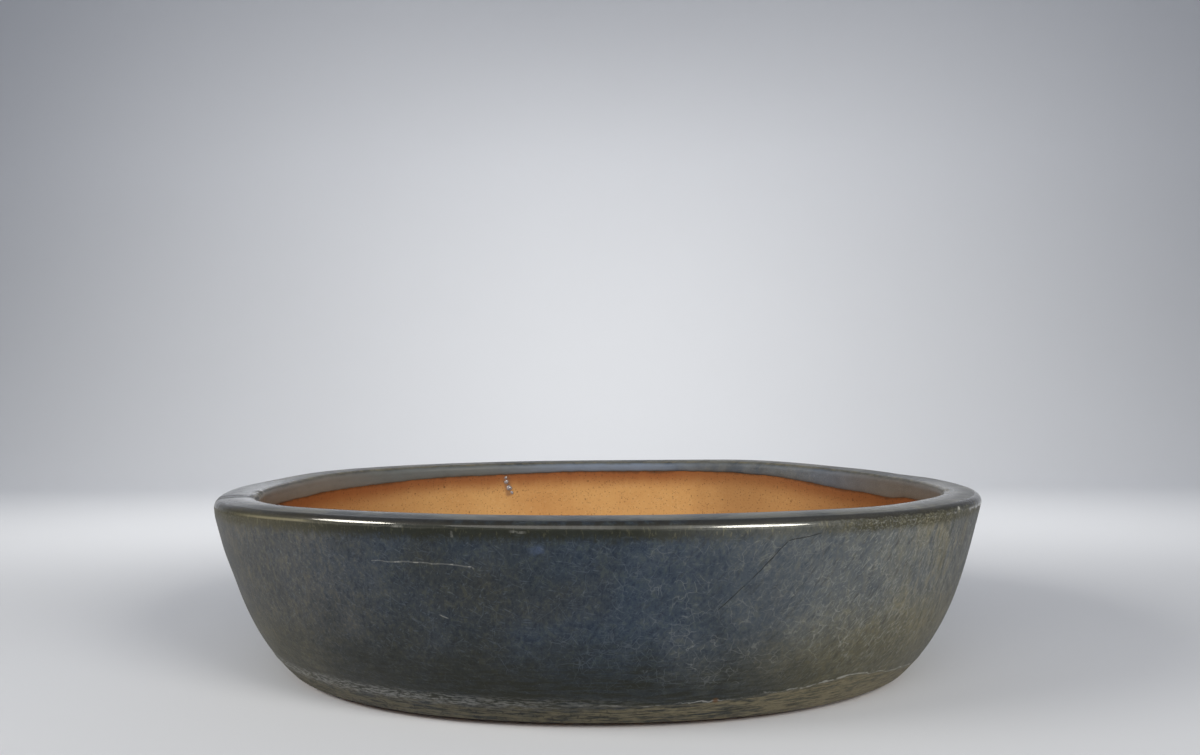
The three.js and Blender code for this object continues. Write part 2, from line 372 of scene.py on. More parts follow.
# %% [markdown]
# ## The two ends of a node tree
# Two Geometry Nodes trees make most of the pot, and both begin and end alike. The inputs are a start shape, a
# number for each size and a finish, so every size is set from outside. At the end the faces are shaded smooth
# between sharp arrises, copies become plain geometry, and the finish goes on.

# %% Open and close a tree
SOCKET_KINDS = {int: "NodeSocketInt", float: "NodeSocketFloat"}
SHARP_ARRIS = math.radians(42)


def tree_with(name, start, sizes):
    """A tree whose inputs are a start shape, a number for each size, and a finish."""
    tree = bpy.data.node_groups.new(name, "GeometryNodeTree")
    kinds = {label: SOCKET_KINDS[type(value)] for label, value in sizes.items()}
    for label, kind in {start: "NodeSocketGeometry", **kinds, "Finish": "NodeSocketMaterial"}.items():
        tree.interface.new_socket(label, in_out="INPUT", socket_type=kind)
    tree.interface.new_socket("Piece", in_out="OUTPUT", socket_type="NodeSocketGeometry")
    return tree


def close_tree(tree, shape, finish):
    """Smooth faces with sharp arrises, then plain geometry with its finish."""
    sharp = Wire.node(tree, "GeometryNodeInputMeshEdgeAngle").math("GREATER_THAN", SHARP_ARRIS)
    shape = Wire.node(tree, "GeometryNodeSetShadeSmooth", {"domain": "FACE"}, {"Geometry": shape})
    edges = {"Geometry": shape, "Selection": sharp, "Shade Smooth": False}
    shape = Wire.node(tree, "GeometryNodeSetShadeSmooth", {"domain": "EDGE"}, edges)
    shape = Wire.node(tree, "GeometryNodeRealizeInstances", None, {"Geometry": shape})
    shape = Wire.node(tree, "GeometryNodeSetMaterial", None, {"Geometry": shape, "Material": finish})
    Wire.node(tree, "NodeGroupOutput", None, {"Piece": shape})


print("edges sharper than", round(math.degrees(SHARP_ARRIS)), "degrees stay crisp")

# %% [markdown]
# ## One tree that carries a section round the oval
# The oval is a superellipse, written by the direction that its outline faces. Every inset of it is then an
# exact parallel, which a scaled copy would not be. A Geometry Nodes tree takes a section as a line of points,
# lays a grid of points, and sends each to its bearing round the oval. The traces of the hand go in here too,
# so that clay and glaze move together.

# %% Build the sweep tree
WELD_DISTANCE = 2e-6


def build_sweep_tree():
    tree = tree_with("carry a section round the oval", "Section", SWEEP_SIZES)
    given = Wire.node(tree, "NodeGroupInput")
    section = given["Section"]

    def add(kind, settings=None, sockets=None):
        return Wire.node(tree, kind, settings, sockets)

    count = add("GeometryNodeAttributeDomainSize", {"component": "MESH"}, {"Geometry": section})
    grid = {"Vertices X": given["Steps"] + 1, "Vertices Y": count}
    shape = add("GeometryNodeMeshGrid", None, grid)
    index = add("GeometryNodeInputIndex")
    ring = add("FunctionNodeIntegerMath", {"operation": "DIVIDE_FLOOR"}, {0: index, 1: count})
    spot = add("FunctionNodeIntegerMath", {"operation": "MODULO"}, {0: index, 1: count})

    def from_section(kind, value):
        sockets = {"Geometry": section, "Value": value, "Index": spot}
        return add("GeometryNodeSampleIndex", {"data_type": kind, "domain": "POINT"}, sockets)

    def weight(name):
        value = add("GeometryNodeInputNamedAttribute", {"data_type": "FLOAT"}, {"Name": name})
        return from_section("FLOAT", value)

    point = from_section("FLOAT_VECTOR", add("GeometryNodeInputPosition"))
    place = add("ShaderNodeSeparateXYZ", None, {0: point})
    inset = place["X"]
    height = place["Z"]
    out_inset = weight("out_inset")
    out_height = weight("out_height")

    # The outline, by the bearing that it faces
    facing = given["From"] + (given["To"] - given["From"]) * ring / given["Steps"]
    cosine = facing.math("COSINE")
    sine = facing.math("SINE")
    dual = given["Fullness"] / (given["Fullness"] - 1)
    along = given["Half Length"] * abs(cosine)
    across = given["Half Width"] * abs(sine)
    support = (along**dual + across**dual) ** (1 / dual)
    rim_x = given["Half Length"] * (along / support) ** (dual - 1) * cosine.math("SIGN")
    rim_y = given["Half Width"] * (across / support) ** (dual - 1) * sine.math("SIGN")

    def near(degrees, spread):
        """1 at a bearing, fading over the spread on both sides."""
        swing = (facing - math.radians(degrees)).math("COSINE") - 1
        return (swing / (1 - math.cos(math.radians(spread)))).math("EXPONENT")

    def swell(places):
        """How strong a trace is at each bearing, from the list of its places."""
        total = 0.0
        for degrees, spread, strength in places:
            total = near(degrees, spread) * strength + total
        return total

    def waver(scale, offset, detail=1.0, with_height=0.0):
        spot_on_rim = {"X": rim_x, "Y": rim_y, "Z": height * with_height + given["Seed"] * 0.37 + offset}
        return noise(add("ShaderNodeCombineXYZ", None, spot_on_rim), scale, detail) * 2 - 1

    # The glaze line inside, and the part of the section that runs down to it
    line_depth = given["Line Depth"] + (given["Line End Depth"] - given["Line Depth"]) * cosine * cosine
    line_depth = line_depth + given["Line Sag"] * swell(GLAZE_SAGS)
    ragged = waver(70, 0.2, 3.0) + waver(260, 0.5, 2.0) * 0.6
    line_depth = line_depth + given["Ragged"] * ragged
    run = weight("run")
    lowered = height - run * (line_depth - given["Line Depth"])
    curve = inner_draw / inner_fall**2
    old_fall = (inner_top - height).math("MAXIMUM", 0.0)
    new_fall = (inner_top - lowered).math("MAXIMUM", 0.0)
    inset = inset + run.math("GREATER_THAN", 0.0) * curve * (new_fall * new_fall - old_fall * old_fall)

    # The lower end of the glaze, along the slope of the wall
    hem = weight("hem") * given["Hem Waver"] * (waver(22, 0.9, 3.0) + waver(160, 0.1, 2.0) * 0.35)
    inset = inset - hem * out_height
    lowered = lowered + hem * out_inset

    # The seam line low on the wall, the lumps on the lip's inner edge, and finger marks
    wander = waver(16, 0.4, 2.0) * 0.9 + waver(90, 0.7, 2.0) * 0.5
    seam_line = given["Seam Height"] + given["Seam Lift"] * swell(SEAM_RISES) + MM * wander
    above_seam = height - seam_line
    ridge_shape = (-(above_seam / RIDGE_WIDTH) ** 2).math("EXPONENT")
    ridge = given["Seam Ridge"] * ridge_shape * (0.7 + waver(55, 0.3, 2.0) * 0.8)
    lump = swell(LIP_LUMPS) * (0.6 + waver(260, 0.6) * 1.4)
    lump = weight("arris") * lump.math("MAXIMUM", 0.0)
    crease = weight("lip") * swell(CREASES)
    pressed = weight("press") * (waver(52, 0.15, 1.0) + waver(20, 0.5, 1.0))
    outward = weight("skin") * ridge + lump * given["Lip Lump"]
    outward = outward + pressed * given["Finger Press"] - crease * given["Crease"]
    outward = outward - weight("ease") * given["Roll Ease"] * swell(EASED_ROLL)
    inset = inset + out_inset * outward
    lowered = lowered + out_height * outward

    # The waver of the wall and the uneven rim
    inset = inset + given["Hand Waver"] * (waver(11, 0.3, 2.0, 1.0) + waver(38, 0.8, 2.0, 1.0) * 0.25)
    bulging = smooth(height, *BULGE_BELOW) * smooth(height, *BULGE_ABOVE)
    inset = inset - given["End Bulge"] * swell(BULGED_WALL) * bulging
    inner_side = smooth(place["X"], *THIN_INSETS) * smooth(height, *THIN_HEIGHTS)
    inset = inset - given["End Thin"] * swell(THIN_LIP) * inner_side
    below_line = (POT_HEIGHT - line_depth) - lowered
    rim_level = given["Rim Rise"] * swell(RIM_RISES) - given["Rim Dip"] * swell(RIM_DIPS)
    rim_level = rim_level + given["Rim Warp"] * waver(6.5, 0.6, 1.0)
    lowered = lowered + smooth(height, *RIM_HEIGHTS) * rim_level

    reach = 1 - weight("shrunk")
    position = {"X": (rim_x - inset * cosine) * reach, "Y": (rim_y - inset * sine) * reach, "Z": lowered}
    position = add("ShaderNodeCombineXYZ", None, position)
    shape = add("GeometryNodeSetPosition", None, {"Geometry": shape, "Position": position})
    marks = {"along": weight("along"), "above_seam": above_seam, "below_line": below_line}
    marks = {**marks, "crease": crease, "lump": lump}
    for name, value in marks.items():
        sockets = {"Geometry": shape, "Name": name, "Value": value}
        shape = add("GeometryNodeStoreNamedAttribute", {"data_type": "FLOAT", "domain": "POINT"}, sockets)
    shape = add("GeometryNodeMergeByDistance", None, {"Geometry": shape, "Distance": WELD_DISTANCE})
    close_tree(tree, shape, given["Finish"])
    return tree


sweep_tree = build_sweep_tree()
print("the sweep tree has", len(sweep_tree.nodes), "nodes")

# %% [markdown]
# The tree's inputs are set on a modifier, by each socket's identifier, before the object is first evaluated.
# The evaluated shape then becomes a plain mesh, because an exported model keeps neither modifiers nor
# instances.

# %% Run a tree and keep a plain mesh


def section_mesh(name, faces, weights):
    """A line of points across the section, with a number at each point for every weight."""
    mesh = bpy.data.meshes.new(name)
    points = [(face.inset, 0, face.height) for face in faces]
    mesh.from_pydata(points, [(i, i + 1) for i in range(len(points) - 1)], [])
    out = {"out_inset": [face.out_inset for face in faces], "out_height": [face.out_height for face in faces]}
    for label, values in {**out, **weights}.items():
        attribute = mesh.attributes.new(label, "FLOAT", "POINT")
        attribute.data.foreach_set("value", [float(value) for value in values])
    return mesh


def made_by(tree, name, start_mesh, sizes):
    piece = bpy.data.objects.new(name, start_mesh)
    scene.collection.objects.link(piece)
    modifier = piece.modifiers.new(tree.name, "NODES")
    modifier.node_group = tree
    for socket in tree.interface.items_tree:
        if socket.item_type == "SOCKET" and socket.in_out == "INPUT" and socket.name in sizes:
            modifier[socket.identifier] = sizes[socket.name]
    graph = bpy.context.evaluated_depsgraph_get()
    shown = piece.evaluated_get(graph)
    shape = bpy.data.meshes.new_from_object(shown, preserve_all_data_layers=True, depsgraph=graph)
    piece.modifiers.clear()
    piece.data = shape
    shape.name = name
    triangles = sum(len(polygon.vertices) - 2 for polygon in shape.polygons)
    print(name, "has", len(shape.vertices), "points and", triangles, "triangles")
    return piece


def swept(name, faces, weights, finish, **sizes):
    given = {**SWEEP_SIZES, "Finish": finish, **sizes}
    return made_by(sweep_tree, name, section_mesh(name + "_section", faces, weights), given)


def settle(piece, slot, *nodes):
    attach(piece, "root")
    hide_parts(*nodes)


print("pieces can be swept now")

# %% [markdown]
# ## The glaze finish
# Slate-blue glaze over iron-bearing clay: cloudy blue and grey where it lies thick, olive where it runs thin
# below the roll of the lip and towards the foot, with a pale web of craze lines on the wall and a glassy lip.
# It could be one noise and a bump, but the depth of a glaze comes from layers at several scales, so each is
# its own mask.

# %% Mix colours and draw fine lines


def paint(amount, first, second):
    """A colour or wire, turned into a second one by the amount."""
    sockets = {"Factor": amount}
    for key, colour in (("A", first), ("B", second)):
        sockets[key] = colour if isinstance(colour, Wire) else (*colour, 1.0)
    return Wire.node(amount.tree, "ShaderNodeMix", {"data_type": "RGBA"}, sockets)


def tinted(amount, colour, tint):
    return paint(amount, colour, stretched(colour, tint))


def most(first, *others):
    """The strongest of several masks at each place."""
    for other in others:
        first = first.math("MAXIMUM", other)
    return first


def scaled(where, factor):
    return Wire.node(where.tree, "ShaderNodeVectorMath", {"operation": "SCALE"}, {0: where, "Scale": factor})


def cells(where, scale, feature, output):
    sockets = {"Vector": where, "Scale": scale}
    return Wire.node(where.tree, "ShaderNodeTexVoronoi", {"feature": feature}, sockets)[output]


def drawn_line(x, z, start, stop, width, fade=0.15):
    """1 on a straight scratch between two points of the front wall, given as along and up."""
    run_x = stop[0] - start[0]
    run_z = stop[1] - start[1]
    length = math.hypot(run_x, run_z)
    along = ((x - start[0]) * run_x + (z - start[1]) * run_z) / length
    beside = ((x - start[0]) * run_z - (z - start[1]) * run_x) / length
    ends = smooth(along, 0.0, length * fade) * smooth(along, length, length * (1 - fade))
    return smooth(abs(beside), width, width * 0.3) * ends


def new_finish(name):
    finish = bpy.data.materials.new(name)
    finish.use_nodes = True
    tree = finish.node_tree
    tree.nodes.clear()
    return finish, tree


def close_finish(tree, colour, roughness, height, bump, **shader):
    """The shader, with a bump in metres, and constants on its own sockets."""
    relief = {"Height": height, "Strength": 1.0, "Distance": bump}
    normal = Wire.node(tree, "ShaderNodeBump", None, relief)
    sockets = {"Base Color": colour, "Roughness": roughness, "Normal": normal, **shader}
    surface = Wire.node(tree, "ShaderNodeBsdfPrincipled", None, sockets)
    Wire.node(tree, "ShaderNodeOutputMaterial", None, {"Surface": surface})


print("colour helpers are ready")

# %% [markdown]
# The colours are linear values, which look lighter on a screen than the numbers suggest. A tint multiplies
# the colour below it. The marks of use are places on the front, along and up in metres. All of them stand
# together here, and the layers below only say where each one goes.

# %% Choose the colours and place the marks
SLATE = (0.036, 0.042, 0.049)
DEEP_BLUE = (0.025, 0.039, 0.061)
WARM_ASH = (0.112, 0.107, 0.096)
COOL_ASH = (0.118, 0.128, 0.132)
KHAKI = (0.122, 0.111, 0.066)
SUNNY_KHAKI = (0.185, 0.165, 0.095)
OLIVE = (0.013, 0.0135, 0.0055)
FRINGE_OLIVE = (0.066, 0.060, 0.032)
DEEP_OLIVE = (0.036, 0.032, 0.012)
BROWN_BREAK_AND_DARK_REFLECTION = (0.015, 0.012, 0.007)
LAVENDER = (0.165, 0.205, 0.285)
ASHEN = (0.140, 0.155, 0.165)
UMBER_GREY = (0.200, 0.184, 0.172)
STONE_CREAM = (0.195, 0.168, 0.104)
FLECK = (0.26, 0.24, 0.15)
BLUE_THREAD = (0.115, 0.140, 0.172)
PALE_THREAD = (0.27, 0.275, 0.25)
LIME = (0.46, 0.46, 0.44)
GILT = (0.33, 0.30, 0.20)
LIP_GREY = (0.150, 0.150, 0.130)
INK = (0.010, 0.010, 0.011)
RUST = (0.11, 0.05, 0.014)
FADED_BLUE = (0.075, 0.105, 0.185)
OLIVE_TINT = (1.52, 1.40, 1.12)
DUSK_TINT = (0.62, 0.68, 0.78)

SCRATCH = ((-0.0785, 0.0668), (-0.0600, 0.0669), (-0.0405, 0.0662), (-0.0400, 0.0652))
SHORT_SCRATCH = ((-0.0540, 0.0478), (-0.0498, 0.0460))
HAIRLINE = ((0.0835, 0.0761), (0.0705, 0.0740), (0.0561, 0.0593), (0.0455, 0.0497))
SMEAR = ((-0.0215, 0.0715), (-0.0140, 0.0738))
PIT = (0.0460, 0.0123)
CHIP = (0.1470, 0.0795)
LIP_MARKS = (  # a tick, and two whitish rubs on the lip's outer edge
    ((-0.0476, 0.0792), (-0.0472, 0.0760)),
    ((-0.0275, 0.0790), (-0.0205, 0.0786)),
    ((-0.0700, 0.0798), (-0.0650, 0.0799)),
)
print("marks on the lip:", len(LIP_MARKS))

# %% [markdown]
# Each layer asks the same things of a place: where it is, what numbers the sweep left there, and how three
# sizes of cloud lie over it. One tuple holds the answers, so the clouds are made once and all layers agree.

# %% Look at a place on the glaze
Site = namedtuple("Site", "where x y z along above_seam crease lump broad cloud haze")


def strokes(where, tilt, scale=1250, slimness=0.13):
    """Short strokes, leaning to the left by a tilt in degrees as seen from the front."""
    turn = {"Vector": where, "Angle": math.radians(tilt)}
    turned = Wire.node(where.tree, "ShaderNodeVectorRotate", {"rotation_type": "Y_AXIS"}, turn)
    return noise(stretched(turned, (1.0, 1.0, slimness)), scale, 2.0, 0.6)


def look_at(tree):
    where = Wire.node(tree, "ShaderNodeTexCoord")["Object"]
    axes = Wire.node(tree, "ShaderNodeSeparateXYZ", None, {0: where})
    marks = []
    for name in ("along", "above_seam", "crease", "lump"):
        marks.append(Wire.node(tree, "ShaderNodeAttribute", {"attribute_name": name})["Fac"])
    broad = noise(where, 12, 2.0)
    cloud = noise(moved(where, (0.3, 0.1, 0.7)), 40, 4.0, 0.6, 0.4)
    haze = noise(moved(where, (0.9, 0.4, 0.2)), 130, 4.0, 0.65)
    return Site(where, axes["X"], axes["Y"], axes["Z"], *marks, broad, cloud, haze)


def from_spot(s, spot):
    """How far a place on the front is from a spot, given as along and up."""
    along = s.x - spot[0]
    up = s.z - spot[1]
    return (along * along + up * up).math("SQRT")


print("each layer reads", len(Site._fields), "things of a place")

# %% [markdown]
# The wall comes first. The glaze lies blue and dark in the middle and grows paler and greyer towards both
# ends, most of all to the right: partly its own ash colour, partly painted light from the right. It is khaki
# low on the right, and olive and darker at the foot, where the darkness is partly painted shade. Small
# blotches of olive and dusk lie in it, and a felt of short strokes covers all of it. Over that goes the craze
# web: the edges of cells of three sizes, broken here and there.

# %% Colour the wall
LEANING_TILTS = (-48, -66, -24)
CROSSING_TILTS = (62, -38, 86)


def wall_colour(s):
    ends = smooth(abs(s.x), 0.045, 0.150)
    right_end = smooth(s.x, -0.020, 0.098)
    left_end = smooth(s.x, -0.025, -0.110)
    blue = s.broad * 0.7 + s.cloud * 0.3 + smooth(abs(s.x - 0.01), 0.12, 0.02) * 0.08 - left_end * 0.08
    colour = paint(smooth(blue, 0.40, 0.62), SLATE, DEEP_BLUE)
    uneven = (s.broad - 0.5) * 0.36 + (s.cloud - 0.5) * 0.42 + (s.haze - 0.5) * 0.34
    pale = paint(smooth(s.x, -0.06, 0.06), WARM_ASH, COOL_ASH)
    # Paler and greyer to both ends, most to the right: partly the glaze's own ash, partly painted light from
    # the right
    ash_and_painted_light = ends * 0.28 + right_end * 0.35 + left_end * 0.08 + uneven
    colour = paint(smooth(ash_and_painted_light, -0.05, 0.90), colour, pale)
    khaki = smooth(s.x, 0.01, 0.12) * smooth(s.z, 0.060, 0.020) + ends * 0.20
    khaki = khaki + smooth(s.x, -0.080, -0.130) * smooth(s.z, 0.050, 0.018) * 0.6
    colour = paint(smooth(khaki + (s.cloud - 0.5) * 0.7, 0.05, 1.0) * 0.8, colour, KHAKI)
    sunny = noise(stretched(s.where, (1.0, 1.0, 0.25)), 55, 3.0, 0.6)
    colour = paint(smooth(sunny, 0.50, 0.66) * smooth(s.x, 0.100, 0.140) * 0.55, colour, SUNNY_KHAKI)
    drift = noise(moved(s.where, (0.5, 0.2, 0.9)), 20, 3.0, 0.55)
    colour = paint(smooth(drift, 0.46, 0.70) * 0.35 * (1 - right_end * 0.6), colour, OLIVE)
    return paint(smooth(s.x, -0.140, -0.172) * 0.35 + smooth(s.x, 0.130, 0.165) * 0.64, colour, SLATE)


def add_mottle(s, colour):
    """Small blotches, olive where the glaze is thin and dusky blue where it is thick."""
    blotch = noise(moved(s.where, (0.7, 0.3, 0.5)), 260, 4.0, 0.7) * 0.42
    blotch = blotch + noise(stretched(s.where, (1.0, 1.0, 0.6)), 760, 3.0, 0.7) * 0.58
    amount = 1 - smooth(s.x, 0.02, 0.08) * 0.45
    colour = tinted(smooth(blotch, 0.50, 0.61) * amount, colour, OLIVE_TINT)
    return tinted(smooth(blotch, 0.49, 0.39) * amount, colour, DUSK_TINT)


def add_felt(s, colour):
    right = smooth(s.x, 0.025, 0.120)
    foot = smooth(s.z + (s.cloud - 0.5) * 0.03, 0.046, 0.016)
    leaning = most(*(strokes(s.where, tilt) for tilt in LEANING_TILTS))
    crossing = most(*(strokes(s.where, tilt) for tilt in CROSSING_TILTS))
    felt = smooth(leaning, 0.58, 0.72) * right + smooth(crossing, 0.60, 0.76) * (1 - right)
    dusk = smooth(strokes(moved(s.where, (0.4, 0.3, 0.6)), -40, 700, 0.2), 0.54, 0.70)
    thread = paint(right + smooth(s.x, -0.07, -0.13) * 0.5, BLUE_THREAD, PALE_THREAD)
    colour = paint(dusk * (0.22 + right * 0.20), colour, INK)
    colour = paint(felt * (0.33 + right * 0.20), colour, thread)
    run = noise(stretched(s.where, (1.0, 1.0, 0.10)), 460, 3.0, 0.6)
    far_right = smooth(s.x, 0.110, 0.145)
    pale_runs = smooth(s.x, -0.06, -0.15) * 0.24 + right * 0.14 + far_right * 0.34
    colour = paint(smooth(run, 0.50, 0.68) * pale_runs, colour, STONE_CREAM)
    colour = paint(smooth(run, 0.49, 0.38) * far_right * 0.40, colour, OLIVE)

    # Olive towards the foot, stroked along the wall; its darkness there is partly painted shade
    along_wall = noise(stretched(s.where, (0.2, 0.2, 1.6)), 480, 3.0, 0.6)
    strength = 0.90 - right * 0.52 - smooth(s.x, -0.025, -0.110) * 0.20
    streaks = 0.68 + smooth(along_wall, 0.40, 0.60) * 0.32
    return paint(foot * strength * streaks, colour, OLIVE), felt, along_wall


def add_craze(s, colour):
    place = moved(s.where, scaled(noise(s.where, 60, 3.0)["Color"], 0.006))
    large_web = smooth(cells(place, 100, "DISTANCE_TO_EDGE", "Distance"), 0.020, 0.0)
    inner_place = moved(place, cells(place, 100, "F1", "Color"))
    small_web = smooth(cells(inner_place, 190, "DISTANCE_TO_EDGE", "Distance"), 0.028, 0.0)
    ragged_place = moved(place, scaled(noise(s.where, 240, 2.0)["Color"], 0.0045))
    loops = smooth(cells(ragged_place, 165, "DISTANCE_TO_EDGE", "Distance"), 0.036, 0.004)
    loops = loops * smooth(s.haze, 0.42, 0.60) * (0.25 + smooth(s.x, -0.02, 0.05) * 0.75)
    broken = smooth(noise(s.where, 150, 3.0), 0.46, 0.60)
    faded = smooth(noise(s.where, 24, 2.0), 0.34, 0.62)
    web = most(large_web * broken * 0.6, small_web * broken * faded * 0.5, loops)
    web = web * (0.45 + faded * 0.55) * smooth(s.along, -0.001, -0.004) * smooth(s.above_seam, -0.002, 0.020)
    return paint(web * 0.52, colour, paint(smooth(s.x, 0.0, 0.08), BLUE_THREAD, PALE_THREAD)), web


print("wall layers:", wall_colour.__name__, add_felt.__name__, add_craze.__name__)

# %% [markdown]
# The lip is where a glaze shows how it melted. It ran off the tight outer roll, which is glassy and dark, the
# dark partly brown broken glaze and partly painted dark reflection, and gathered below it as a ragged olive
# fringe. One tuple holds what the layers of the lip share.

# %% Colour the outside of the lip
ROLL_END = 3.4 * MM  # distances from the top of the wall, over the lip, on the clay
CROWN_END = 16.0 * MM
ARRIS_END = 19.6 * MM

Lip = namedtuple("Lip", "before rear left_tip right_tip rightward middle blades torn ragged top")


def look_at_lip(s):
    right_tip = smooth(s.x, 0.085, 0.120)
    torn = noise(stretched(s.where, (1.0, 1.0, 0.4)), 260, 4.0, 0.65)
    return Lip(
        before=smooth(s.y, 0.0, -0.02),
        rear=smooth(s.y, -0.01, 0.05),
        left_tip=smooth(s.x, -0.120, -0.165),
        right_tip=right_tip,
        rightward=smooth(s.x, 0.010, 0.060),
        middle=smooth(abs(s.x + 0.010), 0.055, 0.030),
        blades=noise(stretched(s.where, (1.0, 1.0, 0.30)), 950, 3.0, 0.65),
        torn=torn,
        ragged=s.along + (torn - 0.5) * (0.0007 + right_tip * 0.0045),
        top=smooth(s.along, ROLL_END - 0.0003, ROLL_END + 0.0006),
    )


def add_fringe(s, lip, colour):
    """A hanging fringe, with pale flecks and dark gaps between its blades, and grainy at both tips."""
    ends = smooth(abs(s.x), 0.060, 0.140)
    paler = most(lip.rightward, smooth(s.x, -0.070, -0.140))
    hang = s.along + (lip.blades - 0.5) * 0.007 + (s.haze - 0.5) * 0.004
    fringe = smooth(hang, -0.0052, -0.0006) * smooth(s.along, 0.0024, 0.0012)
    colour = paint(fringe * (0.84 - lip.rightward * 0.44), colour, paint(paler, OLIVE, FRINGE_OLIVE))
    flecked = smooth(abs(s.along + 0.0004), 0.0030, 0.0006) * (0.10 + ends * 0.12 + lip.rightward * 0.17)
    colour = paint(smooth(lip.blades, 0.57, 0.65) * flecked, colour, FLECK)
    colour = paint(smooth(lip.blades, 0.44, 0.36) * flecked, colour, INK)
    tips = smooth(s.x, 0.075, 0.105) + smooth(s.x, -0.128, -0.150)
    speckle = noise(stretched(s.where, (0.8, 0.8, 1.0)), 1400, 2.0, 0.6)
    grainy = smooth(abs(s.along + 0.0004 + (lip.torn - 0.5) * 0.003), 0.0034, 0.0014) * tips * lip.before
    colour = paint(grainy * smooth(speckle, 0.58, 0.46) * 0.76, colour, DEEP_OLIVE)
    return paint(grainy * smooth(speckle, 0.58, 0.67) * 0.30, colour, FLECK)


def add_roll(s, lip, colour):
    """The roll, dark from broken glaze and painted dark reflection, worn at the left and in the middle, a
    gilt thread below it, and the top behind it.
    """
    # The dark on the roll is partly brown broken glaze and partly painted dark reflection
    roll = smooth(lip.ragged, 0.0011, 0.0016) * smooth(s.along, ROLL_END + 0.0005, ROLL_END - 0.0003)
    worn = smooth(s.x, -0.105, -0.130) * 0.35 + lip.middle * smooth(lip.torn, 0.42, 0.60) * 0.5
    colour = paint(roll * (0.78 - worn), colour, BROWN_BREAK_AND_DARK_REFLECTION)
    gilt = smooth(abs(s.along - 0.0009), 0.0004, 0.0001) * smooth(s.x, -0.100, -0.110)
    colour = paint(gilt * smooth(s.x, -0.150, -0.125) * lip.before * 0.42, colour, GILT)
    colour = paint(lip.top * 0.6, colour, paint(smooth(s.cloud, 0.40, 0.62), SLATE, LIP_GREY))
    thin = lip.top * smooth(s.haze, 0.42, 0.72) * (lip.right_tip + lip.rear).math("MINIMUM", 1.0)
    return paint(thin * 0.5, colour, OLIVE)


print("the lip's section is", round(ARRIS_END / MM, 1), "mm long, from the wall to its inner face")

# %% [markdown]
# The flat top is smooth and half glassy, the inner arris pale where the glaze is thinnest, and the band
# inside is thick and lavender, greyer towards the ends, and thinner and darker to the right of the rear as
# painted shade. How glassy a place is does not follow its colour, so the shine is a mask of its own.

# %% Colour the inside of the lip and make it shine


def add_inner_band(s, lip, colour):
    """The pale arris, and the thick band inside it, thinner and darker to the right as painted shade."""
    arris = smooth(abs(s.along - CROWN_END - 0.0006), 0.0014, 0.0004)
    colour = paint(arris * (0.15 + smooth(lip.torn, 0.45, 0.62) * 0.45), colour, STONE_CREAM)
    inside = smooth(s.along + (s.haze - 0.5) * 0.002, CROWN_END + 0.0008, CROWN_END + 0.0026)
    streaky = noise(stretched(s.where, (1.0, 1.0, 2.5)), 120, 3.0, 0.6)
    # Less band to the right of the rear, so it darkens there: painted shade
    thick = 0.90 - smooth(s.x, 0.02, 0.075) * 0.62 + smooth(s.x, 0.10, 0.15) * 0.5 + (streaky - 0.5) * 0.5
    band = paint(smooth(s.x, -0.01, -0.08), LAVENDER, ASHEN)
    band = paint(smooth(abs(s.x), 0.120, 0.160), band, UMBER_GREY)
    return paint(inside * thick, colour, band)


def add_lip_marks(s, lip, colour):
    """Two dark creases at the left end, pale lumps, a chip, and rubs along the outer edge."""
    colour = paint(s.crease * 0.9, colour, INK)
    colour = paint(s.lump * smooth(s.haze, 0.34, 0.56) * 0.75, colour, FLECK)
    colour = paint(smooth(from_spot(s, CHIP), 0.0009, 0.0004) * lip.before * 0.7, colour, LIME)
    shaken = s.z + (lip.torn - 0.5) * 0.0016
    rubbed = most(*(drawn_line(s.x, shaken, *mark, 0.0007, 0.3) for mark in LIP_MARKS))
    return paint(rubbed * lip.before * smooth(lip.blades, 0.36, 0.54) * 0.20, colour, LIME)


def lip_shine(s, lip):
    """Where the lip is glassy, and how much of a clear coat it has there."""
    glassy = smooth(lip.ragged + lip.rightward * 0.0005, 0.0004, 0.0009)
    glassy = glassy * smooth(s.along, CROWN_END + 0.0016, CROWN_END + 0.0006)
    inward = smooth(s.along, ROLL_END + 0.002, CROWN_END + 0.0006) * smooth(abs(s.x), 0.030, 0.085)
    taper = smooth(s.x, -0.086, -0.110) * smooth(s.x, -0.158, -0.138) * lip.before
    fading = smooth(s.x, 0.052, 0.040) * smooth(s.x, 0.0, 0.02)
    roll_loss = lip.middle * 0.35 + taper * 0.80 + fading * 0.35
    lift = 0.42 + smooth(s.x, -0.05, -0.10) * 0.22
    flat_loss = 0.82 - inward * lift - lip.left_tip * 0.78 - lip.right_tip * 0.30
    shine = 0.92 - (1 - lip.top) * roll_loss - lip.top * flat_loss
    patchy = 0.84 + smooth(lip.torn, 0.40, 0.56) * 0.16
    return glassy, glassy * shine * (1 - lip.rear * 0.6) * (1 - s.crease * 0.8) * patchy


def add_lip(s, colour):
    lip = look_at_lip(s)
    for layer in (add_fringe, add_roll, add_inner_band, add_lip_marks):
        colour = layer(s, lip, colour)
    return colour, *lip_shine(s, lip)


print("the layers of the lip share", len(Lip._fields), "masks")

# %% [markdown]
# The seam is where the wall stands on the floor slab. To the right it is a crisp pale line, to the left a
# rippled band, and below both the glaze is stroked and paler. The sweep left the height above the seam on the
# mesh, so all of it follows the line as it wanders.

# %% Colour the seam


